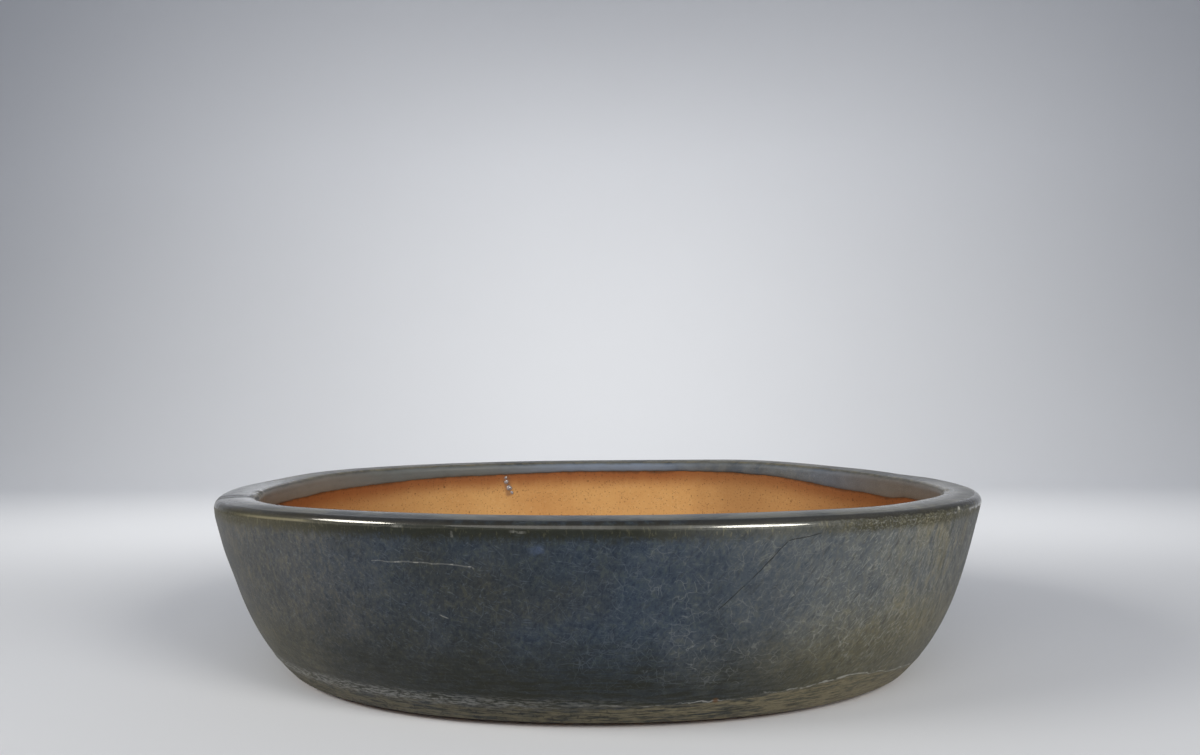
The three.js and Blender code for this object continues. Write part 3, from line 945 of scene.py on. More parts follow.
def add_seam(s, colour, along_wall):
    rightward = smooth(s.x, -0.03, 0.05)
    squiggle = (noise(s.where, 130, 3.0) - 0.5) * 0.0034
    below = -s.above_seam + squiggle * 2 * (1 - rightward)
    under = smooth(below / (0.0012 + (1 - rightward) * 0.0040), -0.3, 1.0)
    grain = noise(stretched(s.where, (0.14, 0.14, 1.5)), 820, 3.0, 0.65)
    cream = smooth(along_wall * 0.2 + s.haze * 0.2 + grain * 0.6, 0.40, 0.56)
    colour = paint(under * cream * (0.55 + rightward * 0.33), colour, STONE_CREAM)
    ticks = smooth(noise(stretched(s.where, (1.0, 1.0, 0.3)), 520, 2.0), 0.57, 0.65) * (1 - rightward * 0.85)
    grooves = noise(stretched(s.where, (0.25, 0.25, 1.8)), 900, 3.0, 0.65)
    grooves = smooth(grooves, 0.48, 0.36) * (1 - rightward * 0.25)
    colour = paint(under * most(ticks, grooves) * 0.68, colour, INK)
    fine = noise(stretched(s.where, (1.0, 1.0, 3.5)), 300, 3.0, 0.6)
    thick = 0.00025 + smooth(noise(s.where, 90, 2.0), 0.42, 0.62) * 0.0004
    edge = smooth(abs(s.above_seam + squiggle + (fine - 0.5) * 0.0014) / thick, 1.0, 0.2)
    colour = paint(edge * (0.06 + rightward * 0.40) * smooth(s.haze, 0.40, 0.56), colour, LIME)
    ripple = smooth(abs(s.above_seam - 0.0004), 0.0042, 0.0006) * smooth(s.x, 0.050, -0.080)
    hairs = noise(stretched(s.where, (0.40, 0.40, 2.0)), 900, 3.0, 0.65)
    return paint(ripple * smooth(hairs * 0.7 + fine * 0.3, 0.43, 0.60) * 0.36, colour, LIME), under


print("the seam lies", round(SWEEP_SIZES["Seam Height"] / MM, 1), "mm up")

# %% [markdown]
# Last come the marks of use on the front: two scratches, a hairline crack, a smear of blue and a rusty pit.
# Then all layers go into one shader. Its clear coat stands for the glassy skin, which the lip alone has kept.

# %% Add the marks and close the glaze finish


def add_marks(s, colour):
    front = smooth(s.y, -0.08, -0.09)
    shaken = s.z + (noise(s.where, 220, 2.0) - 0.5) * 0.0012

    def bent_line(points, width, fade):
        legs = zip(points, points[1:])
        return most(*(drawn_line(s.x, shaken, *leg, width, fade) for leg in legs))

    dotted = 0.35 + smooth(noise(s.where, 330, 2.0), 0.50, 0.62) * 0.65
    scratches = bent_line(SCRATCH, 0.00036, 0.01) * dotted
    scratches = most(scratches, bent_line(SHORT_SCRATCH, 0.00028, 0.3) * 0.7)
    colour = paint(scratches * front * 0.42, colour, LIME)
    crack = bent_line(HAIRLINE, 0.00022, 0.03) * front * smooth(s.haze, 0.24, 0.42)
    colour = paint(crack * 0.8, colour, INK)
    smear = drawn_line(s.x, shaken + (s.haze - 0.5) * 0.008, *SMEAR, 0.0024, 0.4) * smooth(s.haze, 0.40, 0.60)
    colour = paint(smear * front * 0.5, colour, FADED_BLUE)
    pit = smooth(from_spot(s, PIT) + (s.haze - 0.5) * 0.002, 0.0018, 0.0006) * front
    return paint(pit * 0.8, colour, RUST), crack


def make_glaze():
    finish, tree = new_finish("crackled_slate_glaze")
    s = look_at(tree)
    colour, felt, along_wall = add_felt(s, add_mottle(s, wall_colour(s)))
    colour, web = add_craze(s, colour)
    colour, glassy, shine = add_lip(s, colour)
    colour, under = add_seam(s, colour, along_wall)
    colour, crack = add_marks(s, colour)
    rough = 0.44 + (s.haze - 0.5) * 0.12 + under * 0.12
    relief = felt * (0.12 + smooth(s.x, 0.03, 0.12) * 0.14) + s.haze * 0.30 + web * 0.12 + s.cloud * 0.8
    relief = relief * (1 - glassy * 0.93) - crack * 0.5
    coat = {"Coat Weight": shine, "Coat Roughness": 0.10, "Coat IOR": 1.9}
    close_finish(tree, colour, rough, relief, 0.0003, **{"IOR": 1.5, "Specular IOR Level": 0.20, **coat})
    return finish


glaze_finish = make_glaze()
print(glaze_finish.name, "has", len(glaze_finish.node_tree.nodes), "nodes")

# %% [markdown]
# ## The bare clay finish
# Inside, the stoneware is bare: warm orange, with iron specks that burn out dark, faint strokes of the
# scraper, and a red-brown flash where the glaze's vapours touched it. The flash follows the glaze line, so it
# reads the distance below that line, which the sweep left on the mesh.

# %% Make the clay finish
CLAY_LIGHT = (0.55, 0.318, 0.124)
CLAY_WARM = (0.45, 0.225, 0.078)
FLASH = (0.235, 0.074, 0.022)
PAINTED_SHADE_BROWN = (0.235, 0.105, 0.038)
SCORCH = (0.085, 0.034, 0.014)
IRON = (0.075, 0.038, 0.018)
SALT = (0.60, 0.40, 0.21)
TOASTED = (0.27, 0.145, 0.068)
RUN_BROWN = (0.20, 0.10, 0.055)

# Iron specks, from a fine pepper to a few large ones: scale, share of cells without one, width and strength
SPECKS = ((1050, 0.42, 0.46, 0.50), (560, 0.74, 0.30, 0.55), (300, 0.92, 0.20, 0.70))

# Beads of glaze that ran down the rear wall: bearing in degrees, depth and radius in millimetres
DRIP_BEADS = ((105.2, 9.4, 0.9), (105.1, 12.0, 1.3), (104.6, 15.8, 1.7), (104.1, 18.7, 1.0))


def drip_place(bearing, depth):
    """A place on the inside of the wall, by its bearing in degrees and its depth in millimetres."""
    height = POT_HEIGHT - depth * MM
    spot = oval_point(math.radians(bearing), inner_face(height).inset)
    return Vector((spot.x, spot.y, height))


def make_clay():
    finish, tree = new_finish("bare_stoneware")
    where = Wire.node(tree, "ShaderNodeTexCoord")["Object"]
    axes = Wire.node(tree, "ShaderNodeSeparateXYZ", None, {0: where})
    x = axes["X"]
    z = axes["Z"]
    below = Wire.node(tree, "ShaderNodeAttribute", {"attribute_name": "below_line"})["Fac"]

    broad = noise(where, 16, 3.0, 0.55)
    cloud = noise(moved(where, (0.2, 0.5, 0.1)), 60, 4.0, 0.6)
    grain = noise(where, 650, 3.0, 0.7)
    scraped = noise(stretched(where, (1.0, 1.0, 0.10)), 330, 3.0, 0.6)
    colour = paint(smooth(broad * 0.75 + cloud * 0.25, 0.38, 0.80), CLAY_LIGHT, CLAY_WARM)
    colour = paint(smooth(scraped, 0.52, 0.78) * 0.30, colour, CLAY_WARM)
    colour = paint(smooth(grain, 0.54, 0.74) * 0.45, colour, SALT)
    colour = paint(smooth(grain, 0.46, 0.28) * 0.45, colour, CLAY_WARM)

    # Redder towards the ends, flashed along the glaze line, and painted shade on the rear wall's right
    ends = smooth(abs(x), 0.085, 0.165)
    colour = paint(ends * 0.58, colour, FLASH)
    uneven = below + (cloud - 0.5) * 0.004 + (scraped - 0.5) * 0.0025
    colour = paint(smooth(uneven, 0.0125, 0.0012) * 0.92, colour, FLASH)
    # Painted shade: the right part of the rear wall is darker, where less light falls
    rear = smooth(axes["Y"], 0.0, 0.05)
    shade = smooth(x + (cloud - 0.5) * 0.03, 0.045, 0.085) * (1 - smooth(x, 0.090, 0.115) * 0.5)
    colour = paint(shade * rear * 0.56, colour, PAINTED_SHADE_BROWN)
    colour = paint(smooth(uneven, 0.0016, -0.0004) * 0.75, colour, SCORCH)

    # The brown run under the drip on the rear wall
    top, low = (drip_place(*DRIP_BEADS[i][:2]) for i in (0, 2))
    run_start = (top.x, top.z + 0.002)
    run_stop = (low.x + 0.001, low.z - 0.006)
    run = drawn_line(x + (cloud - 0.5) * 0.004, z, run_start, run_stop, 0.0030)
    colour = paint(run * rear * 0.7, colour, RUN_BROWN)

    for scale, share, widest, strength in SPECKS:
        chance = cells(where, scale, "F1", "Color")
        chance = Wire.node(tree, "ShaderNodeSeparateColor", None, {0: chance})
        size = smooth(chance["Red"], share, 1.0) * widest
        speck = smooth(cells(where, scale, "F1", "Distance") - size, 0.06, -0.06)
        speck = speck * smooth(chance["Red"], share, share + 0.02)
        colour = paint(speck * (0.3 + chance["Green"] * 0.7) * strength, colour, IRON)

    # The underside and the foot, toasted by the kiln shelf
    under = smooth(z, 0.0075, 0.0035)
    colour = paint(under * (0.45 + smooth(cloud, 0.35, 0.65) * 0.4), colour, TOASTED)

    rough = 0.72 + (grain - 0.5) * 0.2 - smooth(uneven, 0.004, 0.0) * 0.15
    relief = grain * 0.45 + scraped * 0.35 + cloud * 0.6 - speck * 0.4
    close_finish(tree, colour, rough, relief, 0.0004, **{"IOR": 1.45, "Specular IOR Level": 0.25})
    return finish


clay_finish = make_clay()
print(clay_finish.name, "has", len(clay_finish.node_tree.nodes), "nodes")

# %% [markdown]
# ## The coat of glaze
# Glaze is poured on as a liquid, so its surface rounds off at both ends, like a drop on a plate. The coat is
# a closed skin: its outer side stands off the clay by the skin's thickness and tucks under at the foot and
# along the line inside, and its inner side lies just within the clay.

# %% Lay the glaze
GLAZE_STEPS = 540
GLAZE_HEM = 2.4 * MM
BEAD_LENGTH = 1.8 * MM
TUCK = 0.12 * MM
SEAM_ZONE = 19 * MM
HEM_LENGTH = 5 * MM
ARRIS_SPREAD = 2.4 * MM
EASE_SPREAD = 1.8 * MM

glaze_line = POT_HEIGHT - SWEEP_SIZES["Line Depth"]


def glaze_faces():
    heights = spaced(GLAZE_HEM, SEAM_ZONE, 46)[:-1] + spaced(SEAM_ZONE, lip_side, 38)[:-1]
    lip = lip_faces(roll_steps=16, crown_steps=10, arris_steps=12)
    shares = [1 - (1 - share) ** 1.6 for share in spaced(0.0, 1.0, 16)]
    inside = [inner_face(inner_top + (glaze_line - inner_top) * share) for share in shares[1:]]
    return [outer_face(h) for h in heights] + lip + inside


def distances(faces):
    """How far along the section each face lies, from the foot of the lip's roll, in metres."""
    walked = [0.0]
    for before, after in zip(faces, faces[1:]):
        walked.append(walked[-1] + math.hypot(after.inset - before.inset, after.height - before.height))
    start = next(i for i, face in enumerate(faces) if face.height >= lip_side - 1e-9)
    return [value - walked[start] for value in walked]


def soft_step(value):
    value = min(1.0, max(0.0, value))
    return value * value * (3 - 2 * value)


def hump(distance, middle, spread):
    """1 at the middle of a stretch of the section, fading over the spread on both sides."""
    return math.exp(-(((distance - middle) / spread) ** 2))


def roll_ease(distance):
    """How much of the easing of the lip's outer roll a face takes, by its distance along the section."""
    return hump(distance, ROLL_END / 2, EASE_SPREAD)


def lay_glaze():
    faces = glaze_faces()
    walked = distances(faces)
    arris_middle = walked[-1] - (inner_top - glaze_line) - LIP_INNER_ROUND * 0.8
    outside = []
    for face, distance in zip(faces, walked):
        from_end = min(distance - walked[0], walked[-1] - distance) / BEAD_LENGTH
        full = math.sqrt(1 - (1 - min(1.0, from_end)) ** 2)
        outside.append(moved_out(face, -TUCK + (GLAZE_SKIN + TUCK) * full))
    back = list(range(len(faces) - 1, 0, -4)) + [0]
    under = [moved_out(faces[i], -TUCK * 2) for i in back]
    section = outside + under + [outside[0]]

    # A number at each point of the section for every trace that it takes part in
    order = [*range(len(faces)), *back, 0]
    along = [walked[i] for i in order]
    skin = [1.0] * len(outside) + [0.0] * (len(under) + 1)
    fallen = [max(0.0, (inner_top - faces[i].height) / (inner_top - glaze_line)) for i in order]
    weights = {
        "along": along,
        "skin": skin,
        "run": [share if value > arris_middle else 0.0 for share, value in zip(fallen, along)],
        "hem": [soft_step(1 - (value - walked[0]) / HEM_LENGTH) for value in along],
        "ease": [roll_ease(value) for value in along],
        "arris": [shown * hump(value, arris_middle, ARRIS_SPREAD) for shown, value in zip(skin, along)],
        "lip": [shown * float(ROLL_END * 0.2 < value < ARRIS_END) for shown, value in zip(skin, along)],
    }
    return swept("glaze_coat_poured", section, weights, glaze_finish, Steps=GLAZE_STEPS)


glaze_coat = lay_glaze()
settle(glaze_coat, "glaze", "glaze_coat")

# %% [markdown]
# ## The two halves of the wall
# Each half was pressed in a mould and luted to the other at the ends of the pot. Only the inside shows, below
# the glaze. Both come from the same tree, over half a turn each, and their end faces are filled afterwards.

# %% Raise the wall
WALL_STEPS = 270


def wall_faces():
    outside = [outer_face(h) for h in spaced(FLOOR_TOP, lip_side, 10)[:-1]]
    inside = [inner_face(h) for h in spaced(inner_top, FLOOR_TOP, 56)[1:]]
    faces = outside + lip_faces(roll_steps=6, crown_steps=4, arris_steps=5) + inside
    return faces + [faces[0]]


def fill_ends(piece):
    shell = bmesh.new()
    shell.from_mesh(piece.data)
    rims = [edge for edge in shell.edges if edge.is_boundary]
    caps = bmesh.ops.holes_fill(shell, edges=rims, sides=0)["faces"]
    for edge in rims:
        edge.smooth = False
    bmesh.ops.recalc_face_normals(shell, faces=shell.faces)
    shell.to_mesh(piece.data)
    shell.free()
    print(piece.name, "got", len(caps), "end faces")


wall_pieces = {}
for half, start in (("rear", 0.0), ("front", math.pi)):
    faces = wall_faces()
    turn = {"Steps": WALL_STEPS, "From": start, "To": start + math.pi}
    easing = {"ease": [roll_ease(distance) for distance in distances(faces)]}
    wall = swept("wall_" + half + "_clay", faces, easing, clay_finish, **turn)
    fill_ends(wall)
    settle(wall, "stoneware", "wall_" + half)
    wall_pieces[half] = wall

# %% [markdown]
# ## A drip of glaze
# Four beads of glaze hang below the line on the rear wall, where some ran over the edge before the firing.
# Each is a low dome with an uneven rim, set against the wall by asking the wall for its nearest point.

# %% Let the glaze drip
BEAD_RINGS = 8
BEAD_SIDES = 28
MILK = (0.30, 0.27, 0.29)
MILK_SHADE = (0.20, 0.20, 0.24)


def closed_piece(solid, name, finish):
    """An object from a shape whose faces close on all sides."""
    bmesh.ops.recalc_face_normals(solid, faces=solid.faces)
    bmesh.ops.triangulate(solid, faces=[face for face in solid.faces if len(face.verts) > 4])
    mesh = bpy.data.meshes.new(name)
    solid.to_mesh(mesh)
    solid.free()
    mesh.materials.append(finish)
    piece = bpy.data.objects.new(name, mesh)
    scene.collection.objects.link(piece)
    print(name, "has", len(mesh.polygons), "faces")
    return piece


def build_drip(name, wall, finish):
    solid = bmesh.new()
    for number, (bearing, depth, radius) in enumerate(DRIP_BEADS):
        spot, normal = wall.closest_point_on_mesh(drip_place(bearing, depth))[1:3]
        across = Vector((0, 0, 1)).cross(normal).normalized()
        down = normal.cross(across)
        rings = []
        for share in spaced(0.0, 1.0, BEAD_RINGS)[1:]:
            ring = []
            for side in range(BEAD_SIDES):
                angle = 2 * math.pi * side / BEAD_SIDES
                uneven = 1 + 0.13 * math.sin(2 * angle + number) + 0.07 * math.sin(3 * angle - 2 * number)
                flat = across * math.cos(angle) + down * math.sin(angle) * 1.15
                lift = 0.55 * math.sqrt(1 - share**2) - 0.12
                ring.append(solid.verts.new(spot + (flat * share * uneven + normal * lift) * radius * MM))
            rings.append(ring)
        crown = solid.verts.new(spot + normal * 0.43 * radius * MM)
        for i in range(BEAD_SIDES):
            j = (i + 1) % BEAD_SIDES
            solid.faces.new((crown, rings[0][i], rings[0][j])).smooth = True
            for inner, outer in zip(rings, rings[1:]):
                solid.faces.new((inner[i], outer[i], outer[j], inner[j])).smooth = True
        solid.faces.new(list(reversed(rings[-1])))
    return closed_piece(solid, name, finish)


def make_milky_glaze():
    finish, tree = new_finish("milky_glaze_beads")
    where = Wire.node(tree, "ShaderNodeTexCoord")["Object"]
    mottle = noise(where, 700, 3.0)
    colour = paint(smooth(mottle, 0.35, 0.65), MILK, MILK_SHADE)
    close_finish(tree, colour, 0.25, mottle, 0.0001, **{"Coat Weight": 0.8, "Coat Roughness": 0.1})
    return finish


drip = build_drip("glaze_drip", wall_pieces["rear"], make_milky_glaze())
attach(drip, "root")

# %% [markdown]
# ## The coil in the corner
# A rope of clay is pressed into the corner between wall and floor and smoothed with a fingertip, which leaves
# a hollow face with shallow dents.

# %% Press in the coil
COIL_RISE = 11 * MM
COIL_REACH = 10 * MM
COIL_TOE = 0.8 * MM
COIL_STEPS = 420
COIL_BEND_STEPS = 22


def bend_faces(start, corner, stop, steps):
    """Faces on a soft bend from start to stop, pulled towards the corner."""
    faces = []
    for share in spaced(0.0, 1.0, steps):
        spot = start * (1 - share) ** 2 + corner * (2 * share * (1 - share)) + stop * share**2
        tangent = (corner - start) * (1 - share) + (stop - corner) * share
        out = Vector((-tangent.y, tangent.x)).normalized()
        faces.append(Face(spot.x, spot.y, out.x, out.y))
    return faces


def coil_faces():
    bedded = [inner_face(h) for h in spaced(FLOOR_TOP, FLOOR_TOP + COIL_RISE, 6)]
    corner = bedded[0]
    top = bedded[-1]
    start = Vector((top.inset - 0.2 * MM, top.height + 1.2 * MM))
    pull = Vector((corner.inset + COIL_TOE, FLOOR_TOP + COIL_TOE))
    stop = Vector((corner.inset + COIL_REACH + 1.2 * MM, FLOOR_TOP - 0.1 * MM))
    buried = [moved_out(face, -0.6 * MM) for face in bedded]
    faces = buried + bend_faces(start, pull, stop, COIL_BEND_STEPS)
    dented = [math.sin(math.pi * share) for share in spaced(0.0, 1.0, COIL_BEND_STEPS)]
    press = [0.0] * len(buried) + dented
    return faces + [faces[0]], press + [0.0]


faces, press = coil_faces()
coil = swept("corner_coil_pressed", faces, {"press": press}, clay_finish, Steps=COIL_STEPS)
settle(coil, "stoneware", "corner_coil")

# %% [markdown]
# ## The floor with its holes
# The floor is a slab with a shallow recess underneath. Its edge carries on the wall's curve, so the sweep
# tree makes it too, with rings that shrink to the middle above and below.

# %% Build the floor
STANDING_BAND = 14 * MM
RECESS_DRAFT = 1.5 * MM
RECESS_EASE = 1.0 * MM
EDGE_ROUND = 1.5 * MM
FLAT_REACH = 62 * MM
CAP_RINGS = 18


def floor_faces():
    arris = outer_face(EDGE)
    recess_edge = arris.inset + STANDING_BAND
    ceiling = recess_edge + RECESS_DRAFT
    edge_start = Vector((arris.inset + EDGE_ROUND, EDGE))
    edge_corner = Vector((arris.inset, EDGE))
    edge_stop = outer_face(EDGE + EDGE_ROUND)
    level = Vector((RECESS_EASE, 0))
    into = Vector((RECESS_DRAFT, RECESS_TOP - EDGE)).normalized() * RECESS_EASE
    upper = Vector((ceiling, RECESS_TOP))
    lower = Vector((recess_edge, EDGE))
    faces = bend_faces(upper + level, upper, upper - into, 4)
    faces += bend_faces(lower + into, lower, lower - level, 4)
    faces += bend_faces(edge_start, edge_corner, Vector((edge_stop.inset, edge_stop.height)), 6)
    faces += [outer_face(h) for h in spaced(EDGE + EDGE_ROUND, FLOOR_TOP, 8)[1:]]
    flat = [Face(inset, FLOOR_TOP, 0.0, 1.0) for inset in spaced(faces[-1].inset, FLAT_REACH, 14)[1:]]
    return faces + flat


def build_floor_blank():
    rim = floor_faces()
    shares = spaced(0.0, 1.0, CAP_RINGS)
    first = rim[0]._replace(out_inset=0.0, out_height=-1.0)
    faces = [first] * CAP_RINGS + rim + [rim[-1]] * CAP_RINGS
    shrunk = [1 - share for share in shares[:-1]] + [0.0] * len(rim) + shares[1:]
    return swept("floor_slab_clay", faces, {"shrunk": shrunk}, clay_finish)


floor_slab = build_floor_blank()

# %% [markdown]
# Water drains through two round holes, and wires that hold the plant come through four small ones. They could
# be cut one by one, but a second node tree sets a cutter at each point of a row or a grid, so radius, easing
# and spacing are its inputs. A pressed slab is never quite flat, so the same tree dents its upper face.

# %% Cut the holes
HOLE_SIZES = {
    "Drain Radius": 14 * MM,
    "Drain Spacing": 140 * MM,
    "Drain Easing": 1.5 * MM,
    "Wire Radius": 2.5 * MM,
    "Wire Easing": 0.8 * MM,
    "Wire Spacing X": 92 * MM,
    "Wire Spacing Y": 84 * MM,
    "Dishing": 0.35 * MM,
}
CUTTER_MARGIN = 3 * MM
CUTTER_POINTS = 71
DENT_DEPTH = 2.2 * MM  # how far below the upper face the dents still move the clay


def build_hole_tree():
    tree = tree_with("cut eased holes through the floor", "Slab", HOLE_SIZES)
    given = Wire.node(tree, "NodeGroupInput")

    def add(kind, settings=None, sockets=None):
        return Wire.node(tree, kind, settings, sockets)

    def cutter(radius, easing, sides):
        """A round bar that flares at the floor's two faces, as an eased hole does."""
        ends = {"Start": (0, 0, RECESS_TOP - CUTTER_MARGIN), "End": (0, 0, FLOOR_TOP + CUTTER_MARGIN)}
        bar = add("GeometryNodeCurvePrimitiveLine", None, ends)
        bar = add("GeometryNodeResampleCurve", None, {"Curve": bar, "Count": CUTTER_POINTS})
        z = add("ShaderNodeSeparateXYZ", None, {0: add("GeometryNodeInputPosition")})["Z"]
        above = (z - FLOOR_TOP + easing).math("MAXIMUM", 0.0)
        below = (RECESS_TOP + easing - z).math("MAXIMUM", 0.0)
        part = (above.math("MAXIMUM", below)).math("MINIMUM", easing)
        flare = easing - (easing * easing - part * part).math("MAXIMUM", 0.0).math("SQRT")
        round_profile = add("GeometryNodeCurvePrimitiveCircle", None, {"Resolution": sides, "Radius": 1.0})
        sockets = {"Curve": bar, "Profile Curve": round_profile, "Scale": radius + flare, "Fill Caps": True}
        return add("GeometryNodeCurveToMesh", None, sockets)

    first = add("ShaderNodeCombineXYZ", None, {"X": given["Drain Spacing"] * -0.5})
    step = add("ShaderNodeCombineXYZ", None, {"X": given["Drain Spacing"]})
    row = add("GeometryNodeMeshLine", None, {"Count": 2, "Start Location": first, "Offset": step})
    grid = {"Size X": given["Wire Spacing X"], "Size Y": given["Wire Spacing Y"]}
    corners = add("GeometryNodeMeshGrid", None, {**grid, "Vertices X": 2, "Vertices Y": 2})
    drain = cutter(given["Drain Radius"], given["Drain Easing"], sides=72)
    tie = cutter(given["Wire Radius"], given["Wire Easing"], sides=28)
    cutters = add("GeometryNodeJoinGeometry")
    for points, bar in ((row, drain), (corners, tie)):
        group = add("GeometryNodeInstanceOnPoints", None, {"Points": points, "Instance": bar})
        group = add("GeometryNodeRealizeInstances", None, {"Geometry": group})
        tree.links.new(group.socket, cutters.socket.node.inputs[0])
    cut = {"Mesh 1": given["Slab"], "Mesh 2": cutters}
    shape = add("GeometryNodeMeshBoolean", {"operation": "DIFFERENCE", "solver": "EXACT"}, cut)

    # The slow dents of the upper face
    place = add("GeometryNodeInputPosition")
    axes = add("ShaderNodeSeparateXYZ", None, {0: place})
    top = smooth(axes["Z"], FLOOR_TOP - DENT_DEPTH, FLOOR_TOP)
    dents = noise(place, 24, 2.0) * 2 - 1
    lift = add("ShaderNodeCombineXYZ", None, {"Z": top * given["Dishing"] * dents})
    shape = add("GeometryNodeSetPosition", None, {"Geometry": shape, "Offset": lift})
    close_tree(tree, shape, given["Finish"])
    return tree


blank = floor_slab.data
bpy.data.objects.remove(floor_slab)
floor_slab = made_by(build_hole_tree(), "floor_slab_clay", blank, {**HOLE_SIZES, "Finish": clay_finish})
settle(floor_slab, "stoneware", "floor_slab")

# %% [markdown]
# ## The feet
# Four low crescents, cut from a coil and luted under the floor so that air can pass. Each is lofted from the
# outline that the construction gives, at a few heights, with a soft lower edge where it was wiped.

# %% Set the feet
FOOT_BEARING = math.radians(43)
FOOT_SPAN = math.radians(26)
FOOT_WIDTH = 15 * MM
FOOT_DRAFT = 1.2 * MM
FOOT_MARGIN = 3 * MM
FOOT_ROUND = 0.9 * MM


def foot_outline(facing, half):
    middle = outer_face(EDGE).inset + STANDING_BAND + RECESS_DRAFT + FOOT_MARGIN + FOOT_WIDTH / 2
    start = facing - FOOT_SPAN / 2
    stop = facing + FOOT_SPAN / 2
    sides = spaced(start, stop, 28)
    outline = [oval_point(bearing, middle - half) for bearing in sides]
    for bearing, turned_by, far in ((stop, 0.0, True), (start, math.pi, False)):
        centre = oval_point(bearing, middle)
        for turn in spaced(0.0, math.pi, 16)[1:-1]:
            angle = bearing + turned_by + turn
            outline.append(centre + Vector((math.cos(angle), math.sin(angle))) * half)
        if far:
            outline += [oval_point(back, middle + half) for back in reversed(sides)]
    return outline


def build_foot(name, facing):
    full = FOOT_WIDTH / 2
    levels = []
    for angle in spaced(0.0, math.pi / 2, 5):
        sunk = FOOT_ROUND * (1 - math.sin(angle))
        levels.append((FOOT_ROUND * (1 - math.cos(angle)), full - FOOT_DRAFT * 0.8 - sunk))
    levels.append((RECESS_TOP * 0.55, full - FOOT_DRAFT * 0.45))
    levels.append((RECESS_TOP - 0.7 * MM, full - FOOT_DRAFT * 0.1))
    levels.append((RECESS_TOP + 0.05 * MM, full + 0.6 * MM))
    solid = bmesh.new()
    rings = []
    for height, half in levels:
        outline = foot_outline(facing, half)
        rings.append([solid.verts.new((spot.x, spot.y, height)) for spot in outline])
    for lower, upper in zip(rings, rings[1:]):
        for i in range(len(lower)):
            j = (i + 1) % len(lower)
            solid.faces.new((lower[i], lower[j], upper[j], upper[i])).smooth = True
    for ring in (rings[0], rings[-1]):
        face = solid.faces.new(ring)
        for edge in face.edges:
            edge.smooth = ring is rings[0]
    foot = closed_piece(solid, name, clay_finish)
    away_from_glaze = foot.data.attributes.new("below_line", "FLOAT", "POINT")
    away_from_glaze.data.foreach_set("value", [POT_HEIGHT] * len(foot.data.vertices))
    return foot


FEET = {
    "rear_right": FOOT_BEARING,
    "rear_left": math.pi - FOOT_BEARING,
    "front_left": math.pi + FOOT_BEARING,
    "front_right": 2 * math.pi - FOOT_BEARING,
}
for corner, facing in FEET.items():
    foot = build_foot("foot_" + corner + "_clay", facing)
    settle(foot, "stoneware", "foot_" + corner)
    print(foot.name, "stands at", [round(value, 4) for value in foot.data.vertices[0].co])

# %% [markdown]
# ## The stage
# A pale sheet lies flat under the pot and sweeps up behind it, so that no edge shows. A curved sheet gives
# the shadow a surface and the shiny lip something pale to mirror.

# %% Lay the floor sheet
SHEET_HALF_WIDTH = 2.6
SHEET_FRONT = -2.2
SHEET_BEND_START = 0.75
SHEET_BEND_RADIUS = 0.6
SHEET_TOP = 2.2
PAPER = (0.68, 0.71, 0.79)


def lay_sheet():
    profile = [(SHEET_FRONT, 0.0), (SHEET_BEND_START, 0.0)]
    for angle in spaced(0.0, math.pi / 2, 24)[1:]:
        y = SHEET_BEND_START + SHEET_BEND_RADIUS * math.sin(angle)
        profile.append((y, SHEET_BEND_RADIUS * (1 - math.cos(angle))))
    profile.append((profile[-1][0], SHEET_TOP))
    points = []
    for y, z in profile:
        points += [(-SHEET_HALF_WIDTH, y, z), (SHEET_HALF_WIDTH, y, z)]
    quads = [(2 * i, 2 * i + 1, 2 * i + 3, 2 * i + 2) for i in range(len(profile) - 1)]
    mesh = bpy.data.meshes.new("paper_sweep")
    mesh.from_pydata(points, [], quads)
    for polygon in mesh.polygons:
        polygon.use_smooth = True
    finish, tree = new_finish("pale_paper")
    where = Wire.node(tree, "ShaderNodeTexCoord")["Object"]
    tone = paint(noise(where, 3, 2.0), PAPER, tuple(value * 0.97 for value in PAPER))
    close_finish(tree, tone, 0.9, noise(where, 900, 2.0), 0.00003, **{"Specular IOR Level": 0.1})
    mesh.materials.append(finish)
    sheet = bpy.data.objects.new("paper_sweep", mesh)
    scene.collection.objects.link(sheet)
    return sheet


paper_sweep = lay_sheet()
print("the sheet reaches", SHEET_TOP, "m up")

# %% [markdown]
# ## The light
# Two soft boxes in front, left and right, draw the two bright streaks on the roll of the lip, and a wide
# panel between them fills the wall. Two spots out of the picture light the sheet behind the pot, and a dim
# cool room fills the shadows. A bright room would be easier, but then the roll of the lip would have no
# dark line between its top and the streaks.

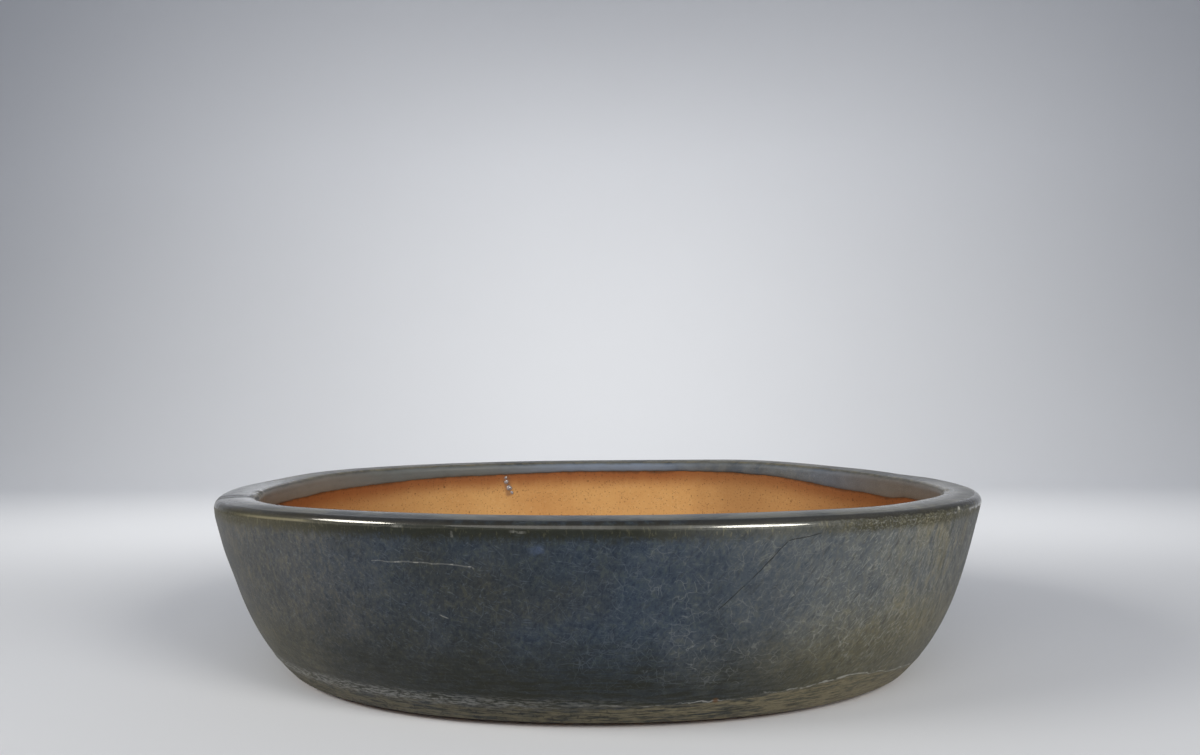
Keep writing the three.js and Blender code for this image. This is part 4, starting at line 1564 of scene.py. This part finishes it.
# %% Hang the lamps
GOLDEN = (1.0, 0.95, 0.83)
WARM = (1.0, 0.96, 0.90)
SOFT_LAMPS = (  # name; bearing, rise and distance; width and height; watts; colour
    ("soft_box_right", (39, 28, 1.3), (0.50, 0.50), 9.4, GOLDEN),
    ("soft_box_left", (-64, 30, 1.3), (0.56, 0.35), 8.2, GOLDEN),
    ("front_panel", (0, 36, 1.5), (1.70, 1.00), 7.0, WARM),
)
SHEET_GLOW = Vector((0.4, 0.9, 0.13))
SHEET_LAMP = Vector((0.3, 0.1, 0.7))
SPOT_WATTS = 19.4
SPOT_COLOUR = (1.0, 0.96, 0.86)
SPOT_SPREAD = math.radians(110)
SPOT_RADIUS = 0.12
ROOM_COLOUR = (0.74, 0.84, 1.0, 1.0)
ROOM_STRENGTH = 0.13


def from_front(bearing, rise, distance):
    """A place by its bearing from the front, to the right, and its rise, in degrees."""
    level = Vector((math.sin(math.radians(bearing)), -math.cos(math.radians(bearing)), 0))
    up = Vector((0, 0, math.sin(math.radians(rise))))
    return POT_MIDDLE + (level * math.cos(math.radians(rise)) + up) * distance


def hang(lamp, place, aim):
    holder = bpy.data.objects.new(lamp.name, lamp)
    holder.location = place
    holder.rotation_euler = (place - aim).to_track_quat("Z", "Y").to_euler()
    scene.collection.objects.link(holder)


for name, spot, (width, height), watts, colour in SOFT_LAMPS:
    lamp = bpy.data.lights.new(name, "AREA")
    lamp.shape = "ELLIPSE"
    lamp.size = width
    lamp.size_y = height
    lamp.energy = watts
    lamp.color = colour
    hang(lamp, from_front(*spot), POT_MIDDLE)

for side, way in (("left", -1), ("right", 1)):
    lamp = bpy.data.lights.new("sheet_light_" + side, "SPOT")
    lamp.energy = SPOT_WATTS
    lamp.color = SPOT_COLOUR
    lamp.spot_size = SPOT_SPREAD
    lamp.spot_blend = 1.0
    lamp.shadow_soft_size = SPOT_RADIUS
    mirrored = Vector((way, 1, 1))
    hang(lamp, SHEET_LAMP * mirrored, SHEET_GLOW * mirrored)

world = bpy.data.worlds.new("pale_room")
world.use_nodes = True
room = world.node_tree.nodes["Background"]
room.inputs["Color"].default_value = ROOM_COLOUR
room.inputs["Strength"].default_value = ROOM_STRENGTH
scene.world = world
scene.view_settings.view_transform = "Standard"
print("lamps:", [light.name for light in bpy.data.lights])
